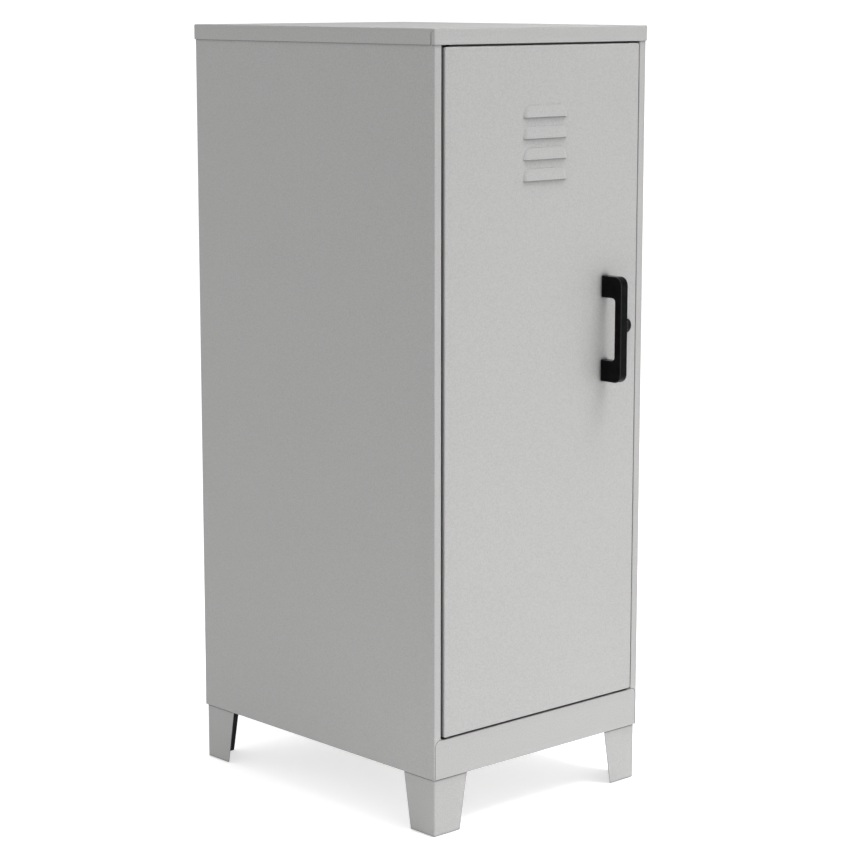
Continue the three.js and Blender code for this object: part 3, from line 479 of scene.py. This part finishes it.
def rim_columns(us, vs, corner_steps):
    """Once round the rectangle: a line down its side from each grid point, with its outward heading."""
    left, right, low, high = us[0], us[-1], vs[0], vs[-1]
    sides = [
        ("low", [(u, low) for u in us], -90),
        ("right", [(right, v) for v in vs], 0),
        ("high", [(u, high) for u in reversed(us)], 90),
        ("left", [(left, v) for v in reversed(vs)], 180),
    ]
    columns = []
    for side, points, heading in sides:
        columns += [RimLine(u, v, math.radians(heading), side) for u, v in points]
        u, v = points[-1]
        for k in range(1, corner_steps):
            turned = math.radians(heading + 90 * k / corner_steps)
            columns.append(RimLine(u, v, turned, "corner"))
    return columns


def pan(us, vs, rings, place, corner_steps=5, returns=None, relief=None, shape=None, gap=None):
    """A flat sheet with folded sides.

    us and vs are the grid lines of the flat part. rings are (distance outside the flat part,
    depth) down the folded sides. returns gives more of them for single sides. place turns
    (u, v, depth) into a point. relief(u, v, above) presses the flat part outwards; above tells
    the upper from the lower edge of a cut along u. shape(side, u, v, u, v, depth) moves a point
    of the sides, and gap(line, line, ring) leaves a side's face out.
    """
    bm = bmesh.new()

    def grid_vertex(u, v, above):
        rise = relief(u, v, above) if relief else 0.0
        return bm.verts.new(place(u, v, -rise))

    upper = [[grid_vertex(u, v, True) for v in vs] for u in us]
    lower = []
    for i, u in enumerate(us):
        same = [not relief or relief(u, v, True) == relief(u, v, False) for v in vs]
        lower.append([upper[i][j] if same[j] else grid_vertex(u, v, False) for j, v in enumerate(vs)])
    for i in range(len(us) - 1):
        for j in range(len(vs) - 1):
            bm.faces.new((upper[i][j], upper[i + 1][j], lower[i + 1][j + 1], lower[i][j + 1]))

    columns = rim_columns(us, vs, corner_steps)
    where = {(u, v): upper[i][j] for i, u in enumerate(us) for j, v in enumerate(vs)}

    def ring_vertex(column, rho, depth):
        u, v, heading, side = column
        point = (u + rho * math.cos(heading), v + rho * math.sin(heading), depth)
        return bm.verts.new(place(*(shape(side, u, v, *point) if shape else point)))

    def sew(one, two, a, b, ring):
        if gap and gap(columns[a], columns[b], ring):
            return
        quad = [one[a], one[b], two[b], two[a]]
        bm.faces.new([v for k, v in enumerate(quad) if v not in quad[:k]])

    count = len(columns)
    last = [where[line.u, line.v] for line in columns]
    for ring, (rho, depth) in enumerate(rings):
        fresh = [ring_vertex(column, rho, depth) for column in columns]
        for a in range(count):
            sew(last, fresh, a, (a + 1) % count, ring)
        last = fresh
    for side, more in (returns or {}).items():
        edge = dict(enumerate(last))
        members = [k for k, line in enumerate(columns) if line.side == side]
        for rho, depth in more:
            fresh = {k: ring_vertex(columns[k], rho, depth) for k in members}
            for a, b in zip(members, members[1:]):
                sew(edge, fresh, a, b, len(rings))
            edge = fresh
    weld(bm)
    return bm


def fold_rings(corner, depth):
    """Rings of a pan's sides: the fold's arc, then straight down."""
    bend = arc((corner - FOLD, FOLD), FOLD, -90, 0, FOLD_STEPS)
    return [(rho, down) for rho, down in bend if rho > WELD or down > WELD] + [(corner, depth)]


def return_rings(corner, depth, width):
    """Rings of a flange folded inwards at the bottom of a pan's side."""
    bend = arc((corner - FOLD, depth - FOLD), FOLD, 0, 90, FOLD_STEPS)[1:]
    return bend + [(corner - width, depth)]


def lying(top):
    """Places a pan with its flat part level and its sides hanging down."""
    def place(u, v, depth):
        return (u, v, top - depth)
    return place


def standing(front):
    """Places a pan with its flat part facing the front and its sides going back."""
    def place(u, v, depth):
        return (u, front + depth, v)
    return place


def build_lid():
    low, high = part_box("lid")
    us = [low.x + FOLD, high.x - FOLD]
    front, back = low.y + FOLD, high.y - FOLD
    slit = low.y + LID_SLIT_TOP
    seam_shift = LID_SEAM - LID_SLIT_TOP
    tips = [LID_SEAM + LID_TIP_ROUND * t for t in LID_TIP_STEPS]
    vs = [front, slit - LID_SEAM_HALF / 2, slit + LID_SEAM_HALF / 2]
    vs += [low.y + t for t in tips] + [back]
    height = high.z - low.z
    seam_lines = vs[1:3]

    def shape(side, base_u, base_v, u, v, depth):
        if side in ("left", "right") and base_v in seam_lines:
            along = (depth - FOLD) / (LID_SLIT_DEPTH - FOLD)
            along = min(1.0, max(0.0, along))
            spread = LID_SEAM_HALF / 2 * along * (1 if base_v > slit else -1)
            v += seam_shift * along + spread
        if side in ("left", "right") and depth > height - WELD:
            from_seam = min(abs(base_v - low.y - LID_SEAM + k) for k in (0, seam_shift))
            if base_v in vs[2:5]:
                reach = 1 - min(1.0, from_seam / LID_TIP_ROUND)
                depth -= LID_TIP_ROUND * (1 - math.sqrt(1 - reach * reach))
        return u, v, depth

    def gap(one, two, ring):
        on_side = one.side == two.side and one.side in ("left", "right")
        between = {one.v, two.v} == set(seam_lines)
        return on_side and between and ring >= FOLD_STEPS

    rings = fold_rings(FOLD, LID_SLIT_DEPTH) + [(FOLD, height)]
    bm = pan(us, vs, rings, lying(high.z), shape=shape, gap=gap)
    face_outwards(bm, Vector((0, 0, 1)), Vector((0, 0, high.z)))
    return stand_for("lid", "lid_pressing", bm, SHEET, -1.0, soften=None)


def louver_relief(lips):
    """Height of the pressed hoods in front of the door's sheet."""
    def relief(x, z, above):
        for lip in lips:
            rise = z - lip
            if rise > LOUVER_HEIGHT or rise < 0 or (rise == 0 and not above):
                continue
            up = rise / LOUVER_HEIGHT
            half = LOUVER_LIP_HALF + (LOUVER_TOP_HALF - LOUVER_LIP_HALF) * up
            into_corner = max(0.0, rise - (LOUVER_HEIGHT - LOUVER_CORNER))
            half -= LOUVER_CORNER - math.sqrt(LOUVER_CORNER ** 2 - into_corner ** 2)
            side = min(1.0, max(0.0, (half - abs(x)) / LOUVER_SIDE))
            down = 1 - up
            slope = down * down / (down + LOUVER_SAG) * (1 + LOUVER_SAG)
            flare = max(0.0, 1 - rise / LOUVER_LIP_ZONE) ** 2
            height = LOUVER_PROUD * slope + LOUVER_LIP_FLARE * flare
            crease = LOUVER_CREASE * min(1.0, down * LOUVER_HEIGHT / LOUVER_CREASE)
            step = crease * min(1.0, side / LOUVER_CREASE_PART)
            return height * math.sin(side * math.pi / 2) + step
        return 0.0
    return relief


def build_door():
    low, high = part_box("door_panel")
    face = high.y - DOOR_DEPTH
    inset = DOOR_CORNER
    top_lip = high.z - LOUVER_BELOW_TOP
    lips = [top_lip - i * LOUVER_PITCH for i in range(LOUVER_COUNT)]
    ramp = [LOUVER_LIP_HALF - t * MM for t in LOUVER_GRID_IN]
    right = [0.0] + ramp[::-1] + [DOOR_GRID, high.x - inset]
    us = [low.x + inset, -DOOR_GRID] + [-x for x in ramp] + right
    rises = [rise * MM for rise in LOUVER_GRID_UP]
    vs = sorted([low.z + inset, high.z - inset] + [lip + rise for lip in lips for rise in rises])
    back_fold = DOOR_DEPTH - FOLD
    rings = fold_rings(inset, back_fold)
    more = return_rings(inset, DOOR_DEPTH, DOOR_RETURN)
    returns = {"left": more, "right": more}
    bm = pan(us, vs, rings, standing(face), returns=returns, relief=louver_relief(lips))
    face_outwards(bm, Vector((0, -1, 0)), Vector((0, face, low.z + DOOR_PLAIN)))
    return stand_for("door_panel", "door_pressing", bm, SHEET, -1.0, soften=None)


def build_shelf(level):
    node = f"shelf_{level}"
    low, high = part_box(node)
    us = [low.x + FOLD, high.x - FOLD]
    vs = [low.y + FOLD, high.y - FOLD]
    height = high.z - low.z
    more = return_rings(FOLD, height, SHELF_RETURN)
    rings = fold_rings(FOLD, height - FOLD)
    bm = pan(us, vs, rings, lying(high.z), returns={"low": more, "high": more})
    face_outwards(bm, Vector((0, 0, 1)), Vector((0, 0, high.z)))
    return stand_for(node, f"{node}_tray", bm, SHEET, -1.0, soften=None)


# ---- Folded sheets: side panels and base rail ------------------------------------------------

def rail_notch(half_width, top):
    """Height of the base rail's outline at x, grown by the groove round it."""
    radius = RAIL_CORNER + RAIL_GROOVE

    def height(x):
        into = abs(x) - (half_width + RAIL_GROOVE - radius)
        if into <= 0:
            return top + RAIL_GROOVE
        return top + RAIL_GROOVE - radius + math.sqrt(max(0.0, radius ** 2 - into ** 2))
    return height


def build_side_panel(side):
    """One sheet: stile, side wall and rear flange, with a notch for the base rail."""
    node = f"{side}_side_panel"
    low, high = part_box(node)
    rail_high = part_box("base_rail")[1]
    rail_half = rail_high.x
    rail_top = rail_high.z - STOP_LIP
    half = SHEET / 2
    outer = max(abs(low.x), abs(high.x))
    inner = outer - STILE_WIDTH
    stile_back = low.y + STILE_DEPTH
    corners = [
        (inner + half, stile_back - half),
        (inner + half, low.y + half),
        (outer - half, low.y + half),
        (outer - half, high.y - half),
        (outer - REAR_FLANGE, high.y - half),
    ]
    if side == "right":
        corners.insert(0, (inner - STOP_FLANGE, stile_back - half))
    path = folded_path(corners)
    notch = rail_notch(rail_half, rail_top)
    edge = rail_half + RAIL_GROOVE
    start = edge - RAIL_CORNER - RAIL_GROOVE
    steps = [start + (edge - start) * math.sin(a) for a in RAIL_CORNER_ANGLES]
    face = [Vector((x, low.y + half)) for x in steps if x > inner + SHEET + MID_FOLD]
    after = next(k for k, p in enumerate(path) if p.x > edge and p.y < low.y + SHEET)
    path[after:after] = face
    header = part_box("top_rail")[0].z + STOP_LIP - GAP
    arc_foot = rail_top - RAIL_CORNER
    rows = []
    for k, p in enumerate(path):
        on_stop = side == "right" and p.x < inner - GAP
        beyond = k >= after + len(face) - 1
        rows.append([
            (p, low.z) if beyond else None,
            (p, arc_foot if beyond else notch(p.x)),
            (p, header),
            None if on_stop else (p, high.z),
        ])
    mirror = -1 if side == "left" else 1
    bm = bmesh.new()
    lattice(bm, [[(mirror * q[0].x, q[0].y, q[1]) if q else None for q in row] for row in rows])
    weld(bm)
    bmesh.ops.recalc_face_normals(bm, faces=bm.faces)
    return stand_for(node, f"{side}_side_sheet", bm, SHEET, 0.0)


def build_base_rail():
    low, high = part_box("base_rail")
    pin_low, pin_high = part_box("hinge_pin_bottom")
    hinge_x = (pin_low.x + pin_high.x) / 2
    half = SHEET / 2
    rail_top = high.z - STOP_LIP
    end = high.x - RAIL_END
    lip_ends = [hinge_x + HINGE_SWEEP, end - STOP_LIP_INSET]
    front, back = low.y + half, high.y - half
    path = folded_path([
        (front, low.z), (front, rail_top - half), (back, rail_top - half), (back, high.z),
    ])
    xs = [-end, *lip_ends, end]
    lip_from = len(path) - 1 - FOLD_STEPS
    bm = bmesh.new()
    grid = []
    for k, p in enumerate(path):
        row = [(x, p.x, p.y) for x in xs]
        if k > lip_from:
            row[0] = row[-1] = None
        grid.append(row)
    lattice(bm, grid)
    fold_start = path[1].y
    centre_x = high.x - RAIL_CORNER
    ear_xs = [end, centre_x]
    ear_xs += [centre_x + RAIL_CORNER * math.sin(a) for a in RAIL_CORNER_ANGLES]

    def ear_top(x):
        into = max(0.0, x - centre_x)
        return rail_top - RAIL_CORNER + math.sqrt(max(0.0, RAIL_CORNER ** 2 - into ** 2))

    relief = rail_top - fold_start
    for side in (-1, 1):
        lattice(bm, [
            [(side * x, front, z) for z in (low.z, ear_top(x) - relief, ear_top(x))]
            for x in ear_xs
        ])
    weld(bm)
    bmesh.ops.recalc_face_normals(bm, faces=bm.faces)
    return stand_for("base_rail", "base_rail_sheet", bm, SHEET, 0.0)


# ---- Legs ------------------------------------------------------------------------------------

def build_leg(name, sx, sy):
    """A tapered angle with a screw plate folded in at its top."""
    node = f"leg_{name}"
    low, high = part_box(node)
    corner = Vector((low.x if sx < 0 else high.x, low.y if sy < 0 else high.y))
    half = LEG_SHEET / 2

    def plan(width):
        return folded_path([(width, half), (half, half), (half, width)], LEG_FOLD, LEG_FOLD_STEPS)

    def at(p, z):
        return (corner.x - sx * p.x, corner.y - sy * p.y, z)

    foot, top = plan(LEG_FOOT_WIDTH), plan(LEG_TOP_WIDTH)
    bm = bmesh.new()
    lattice(bm, [[at(a, low.z), at(b, high.z - LEG_SEAM)] for a, b in zip(foot, top)])
    inner = LEG_SHEET
    outline = [
        (inner, inner), (LEG_PLATE, inner), (LEG_PLATE, LEG_PLATE / 2),
        (LEG_PLATE / 2, LEG_PLATE), (inner, LEG_PLATE),
    ]
    bm.faces.new([bm.verts.new(at(Vector(p), high.z - half)) for p in outline])
    weld(bm)
    bmesh.ops.recalc_face_normals(bm, faces=bm.faces)
    return stand_for(node, f"{node}_angle", bm, LEG_SHEET, 0.0, soften=LEG_EDGE_ROUND)


# ---- Handle and turned fittings --------------------------------------------------------------

def build_handle():
    """One moulding: two posts and a bar, its outline drawn across with rounded edges."""
    low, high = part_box("handle")
    back, front = high.y, low.y
    inner_y = front + HANDLE_BAR + HANDLE_INNER_RADIUS
    outer_y = front + HANDLE_OUTER_RADIUS
    inner, outer = HANDLE_INNER_RADIUS, HANDLE_OUTER_RADIUS
    outline = [(back, low.z), (back, low.z + HANDLE_POST)]
    outline += arc((inner_y, low.z + HANDLE_POST + inner), inner, -90, -180, HANDLE_INNER_STEPS)
    outline += arc((inner_y, high.z - HANDLE_POST - inner), inner, 180, 90, HANDLE_INNER_STEPS)
    outline += [(back, high.z - HANDLE_POST), (back, high.z)]
    outline += arc((outer_y, high.z - outer), outer, 90, 180, HANDLE_OUTER_STEPS)
    outline += arc((outer_y, low.z + outer), outer, 180, 270, HANDLE_OUTER_STEPS)
    points = [Vector(p) for p in outline]
    count = len(points)

    def inward(k):
        before = (points[k] - points[k - 1]).normalized()
        after = (points[(k + 1) % count] - points[k]).normalized()
        normal_a = Vector((-before.y, before.x))
        normal_b = Vector((-after.y, after.x))
        middle = (normal_a + normal_b).normalized()
        return middle / max(HANDLE_MITRE, middle.dot(normal_a))

    area = sum(a.x * b.y - b.x * a.y for a, b in zip(points, points[1:] + points[:1]))
    sign = 1 if area > 0 else -1
    normals = [inward(k) * sign for k in range(count)]
    quarter = [math.radians(90 * k / HANDLE_ROUND_STEPS) for k in range(HANDLE_ROUND_STEPS + 1)]
    rounding = [(HANDLE_ROUND * (1 - math.sin(a)), HANDLE_ROUND * (1 - math.cos(a))) for a in quarter]
    sections = [(low.x + along, inset) for inset, along in rounding]
    sections += [(high.x - along, inset) for inset, along in reversed(rounding)]
    bm = bmesh.new()
    loops = []
    for x, inset in sections:
        loop = []
        for point, normal in zip(points, normals):
            moved = point + normal * inset
            y = back if point.x > back - WELD else moved.x
            loop.append(bm.verts.new((x, y, moved.y)))
        loops.append(loop)
    for one, two in zip(loops, loops[1:]):
        for k in range(count):
            bm.faces.new((one[k], one[(k + 1) % count], two[(k + 1) % count], two[k]))
    bm.faces.new(loops[0])
    bm.faces.new(loops[-1])
    weld(bm)
    bmesh.ops.recalc_face_normals(bm, faces=bm.faces)
    return stand_for("handle", "handle_moulding", bm, soften=HANDLE_EDGE_ROUND)


def rectangle_reach(half_wide, half_high, angle):
    """Distance from a rectangle's middle to its edge in a direction."""
    across, up = abs(math.cos(angle)), abs(math.sin(angle))
    if across * half_high > up * half_wide:
        return half_wide / across
    return half_high / up


def key_slot(angle):
    return rectangle_reach(KEY_SLOT_HALF_WIDTH, KEY_SLOT_HALF_HEIGHT, angle)


def cross_recess(size):
    arm = CROSS_ARM * size

    def reach(angle):
        return max(rectangle_reach(size, arm, angle), rectangle_reach(arm, size, angle))
    return reach


def build_turned(node, name, profile, axis, recess=None, recess_depth=0.0, hollow=False, flip=False):
    """A turned piece round the middle of a CAD node.

    profile is (radius, distance from the node's near end). The near end is at low y, or for an
    upright piece at low z; flip starts from the other end. recess(angle) is the outline of a
    slot or a cross sunk into the near end.
    """
    low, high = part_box(node)
    middle = (low + high) / 2

    def at(radius, angle, along):
        a, b = radius * math.cos(angle), radius * math.sin(angle)
        if axis == "y":
            y = high.y - along if flip else low.y + along
            return (middle.x + a, y, middle.z + b)
        z = high.z - along if flip else low.z + along
        return (middle.x + a, middle.y + b, z)

    angles = [2 * math.pi * k / TURN_SEGMENTS for k in range(TURN_SEGMENTS)]
    bm = bmesh.new()
    loops = [[bm.verts.new(at(r, t, along)) for t in angles] for r, along in profile]
    if recess:
        near = profile[0][1]
        lip = [bm.verts.new(at(recess(t), t, near)) for t in angles]
        floor = [bm.verts.new(at(recess(t) * RECESS_FLOOR, t, near + recess_depth)) for t in angles]
        bm.faces.new(floor)
        loops = [floor, lip] + loops
    elif not hollow:
        bm.faces.new(loops[0])
    pairs = list(zip(loops, loops[1:]))
    if hollow:
        pairs.append((loops[-1], loops[0]))
    else:
        bm.faces.new(loops[-1])
    for one, two in pairs:
        for k in range(TURN_SEGMENTS):
            following = (k + 1) % TURN_SEGMENTS
            bm.faces.new((one[k], one[following], two[following], two[k]))
    weld(bm)
    bmesh.ops.recalc_face_normals(bm, faces=bm.faces)
    return stand_for(node, name, bm, soften=None)


def rounded(radius, near, r, steps=4):
    """A turned edge: from the end face round onto the side."""
    return [
        (radius - r + r * math.sin(a), near + r - r * math.cos(a))
        for a in (math.pi / 2 * k / steps for k in range(steps + 1))
    ]


def build_lock():
    low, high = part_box("lock_housing")
    length = high.y - low.y
    bezel = (high.x - low.x) / 2
    profile = [(LOCK_BORE, length)] + [(LOCK_BORE + out, back) for out, back in LOCK_BEVEL]
    profile += rounded(bezel, 0, LOCK_BEZEL_ROUND, LOCK_BEZEL_STEPS)
    profile += [(bezel, LOCK_PROUD), (LOCK_BARREL, LOCK_PROUD), (LOCK_BARREL, length)]
    build_turned("lock_housing", "lock_barrel_case", profile, "y", hollow=True)
    low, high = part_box("lock_plug")
    length = high.y - low.y
    shoulder = length - LOCK_SHANK_LENGTH
    profile = rounded(LOCK_CORE, 0, LOCK_CORE_ROUND)
    profile += [(LOCK_CORE, shoulder), (LOCK_SHANK, shoulder), (LOCK_SHANK, length)]
    build_turned("lock_plug", "lock_key_core", profile, "y", key_slot, KEY_SLOT_DEPTH)


def build_screw(node, head, head_height, shank, axis, flip):
    """A pan-head screw with a cross recess. head and shank are radii."""
    low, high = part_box(node)
    length = (high.y - low.y) if axis == "y" else (high.z - low.z)
    ball = head_height * SCREW_CROWN_HEIGHT
    profile = [
        (head * t, ball * (1 - math.sqrt(1 - (SCREW_CROWN_CURVE * t) ** 2))) for t in SCREW_CROWN_STEPS
    ]
    profile += [(head, head_height * SCREW_RIM), (head, head_height), (shank, head_height)]
    profile += [(shank, length - SCREW_TIP), (shank * SCREW_TIP_PART, length)]
    recess = cross_recess(head * CROSS_SIZE)
    build_turned(node, f"{node}_turned", profile, axis, recess, head_height * CROSS_DEPTH, flip=flip)


# ---- Pieces that keep the CAD's shape ----------------------------------------------------------

def refine(node, name, soften):
    """The CAD node's own shape with its edges softened."""
    bm = bmesh.new()
    bm.from_mesh(frame["nodes"][node].data)
    bmesh.ops.remove_doubles(bm, verts=bm.verts, dist=WELD)
    bmesh.ops.dissolve_limit(bm, angle_limit=FLAT, verts=bm.verts, edges=bm.edges)
    return stand_for(node, name, bm, soften=soften)


# ---- Assembly ----------------------------------------------------------------------------------

build_lid()
build_door()
for level in ("lower", "upper"):
    build_shelf(level)
for side in ("left", "right"):
    build_side_panel(side)
build_base_rail()
for end, sy in (("front", -1), ("rear", 1)):
    for side, sx in (("left", -1), ("right", 1)):
        build_leg(f"{end}_{side}", sx, sy)
build_handle()
build_lock()

# Radius and height of the head, radius of the shank, axis, and whether the head is at the far end.
SCREWS = {
    "leg_screw": (4.5 * MM, 2.6 * MM, 2.5 * MM, "z", False),
    "handle_screw": (4 * MM, 2.6 * MM, 2 * MM, "y", True),
    "lock_cam_screw": (5 * MM, 2.3 * MM, 1.5 * MM, "y", True),
}
# How each CAD shape that stays is called, and how far its edges are softened, in mm.
REFINED = {
    "shelf_standard": ("channel", 0.12), "shelf_clip": ("bent", 0.2), "leg_glide": ("moulding", 0.5),
    "back_panel": ("finished", 0.14), "top_rail": ("finished", 0.14), "floor_pan": ("finished", 0.14),
    "door_stiffener": ("finished", 0.14), "hinge_pin_top": ("finished", 0.3),
    "hinge_pin_bottom": ("finished", 0.2), "hinge_bush": ("finished", 0.15),
    "lock_cam": ("finished", 0.3), "lock_nut": ("finished", 0.4),
    "door_bumper": ("finished", 0.5), "magnetic_catch": ("finished", 0.4),
}


def family(node, table):
    """The row for the family that a node's name starts with."""
    return next((row for start, row in table.items() if node.startswith(start)), None)


NODES = sorted(frame["nodes"])
for node in NODES:
    if family(node, SCREWS):
        build_screw(node, *family(node, SCREWS))
for node in NODES:
    if family(node, REFINED) and not family(node, SCREWS):
        ending, soften = family(node, REFINED)
        refine(node, f"{node}_{ending}", soften * MM)


# ---- Floor, light and camera ---------------------------------------------------------------------

FLOOR_HALF = 60.0
FLOOR_SOCKETS = {
    "Base Color": (0.82, 0.82, 0.82, 1), "Roughness": 0.9, "Specular IOR Level": 0.1,
    "Emission Color": (1, 1, 1, 1), "Emission Strength": 0.56,
}
SKY_LEVEL = 0.493
SKY_SLOPE = (0.196, 0.0, 0.297)      # brighter towards the right and above
HORIZON_BAND = (0.0, 0.015)          # heights between which the white band fades
HORIZON_LEVEL = 1.08
LAMPS = {                            # place, target, width, watts, spread in degrees
    "key": (Vector((0.5, -1.4, 3.0)), Vector((0, -0.3, -0.1)), 1.6, 6.2, 44),
    "low_front": (Vector((0.3, -1.7, 0.25)), Vector((0, 0, 0.4)), 0.9, 4.5, 180),
    "overhead": (Vector((0.1, 0.1, 3.0)), Vector((0, 0, 0.9)), 2.0, 12, 180),
}


def build_floor():
    bm = bmesh.new()
    bmesh.ops.create_grid(bm, x_segments=8, y_segments=8, size=FLOOR_HALF)
    floor = link("studio_floor", bm)
    material = bpy.data.materials.new("studio_floor")
    material.use_nodes = True
    shader = material.node_tree.nodes["Principled BSDF"]
    for socket, value in FLOOR_SOCKETS.items():
        shader.inputs[socket].default_value = value
    floor.data.materials.append(material)


def build_sky():
    """Soft light, strongest from the upper right, with a white band at the horizon.

    The camera itself sees white all over, as a studio backdrop.
    """
    world = bpy.data.worlds.new("studio")
    world.use_nodes = True
    bpy.context.scene.world = world
    tree = world.node_tree
    background = tree.nodes["Background"]
    direction = add_node(tree, "ShaderNodeTexCoord").outputs["Generated"]
    slope = add_node(tree, "ShaderNodeVectorMath", {0: direction, 1: SKY_SLOPE},
                     operation="DOT_PRODUCT")
    glow = add_node(tree, "ShaderNodeMath", {0: slope.outputs["Value"], 1: SKY_LEVEL}, operation="ADD")
    height = add_node(tree, "ShaderNodeSeparateXYZ", {0: direction}).outputs["Z"]
    band = add_node(tree, "ShaderNodeMapRange", {
        "From Min": HORIZON_BAND[0], "From Max": HORIZON_BAND[1],
        "To Min": 1.0, "To Max": 0.0, "Value": height,
    })
    seen = add_node(tree, "ShaderNodeLightPath").outputs["Is Camera Ray"]
    white = add_node(tree, "ShaderNodeMath", {0: band.outputs[0], 1: seen}, operation="MAXIMUM")
    strength = add_node(tree, "ShaderNodeMix", {
        0: white.outputs[0], 2: glow.outputs[0], 3: HORIZON_LEVEL,
    }, data_type="FLOAT")
    tree.links.new(strength.outputs[0], background.inputs["Strength"])
    background.inputs["Color"].default_value = (1, 1, 1, 1)


def build_lamp(name, place, target, width, watts, spread):
    data = bpy.data.lights.new(name, "AREA")
    data.shape = "DISK"
    data.size = width
    data.energy = watts
    data.spread = math.radians(spread)
    lamp = bpy.data.objects.new(name, data)
    bpy.context.scene.collection.objects.link(lamp)
    lamp.location = place
    lamp.rotation_mode = "QUATERNION"
    lamp.rotation_quaternion = (target - place).to_track_quat("-Z", "Y")


def build_camera():
    heading, pitch = math.radians(CAMERA_HEADING), math.radians(CAMERA_PITCH)
    forward = Vector((
        math.sin(heading) * math.cos(pitch), math.cos(heading) * math.cos(pitch), -math.sin(pitch),
    ))
    data = bpy.data.cameras.new("camera")
    data.sensor_width = SENSOR_WIDTH
    data.lens = CAMERA_LENS
    data.dof.use_dof = False
    camera = bpy.data.objects.new("camera", data)
    bpy.context.scene.collection.objects.link(camera)
    camera.rotation_mode = "QUATERNION"
    camera.location = CAMERA_TARGET - forward * CAMERA_DISTANCE
    camera.rotation_quaternion = forward.to_track_quat("-Z", "Y")
    bpy.context.scene.camera = camera


build_floor()
build_sky()
for lamp_name, settings in LAMPS.items():
    build_lamp(lamp_name, *settings)
build_camera()
bpy.context.scene.view_settings.view_transform = "Standard"
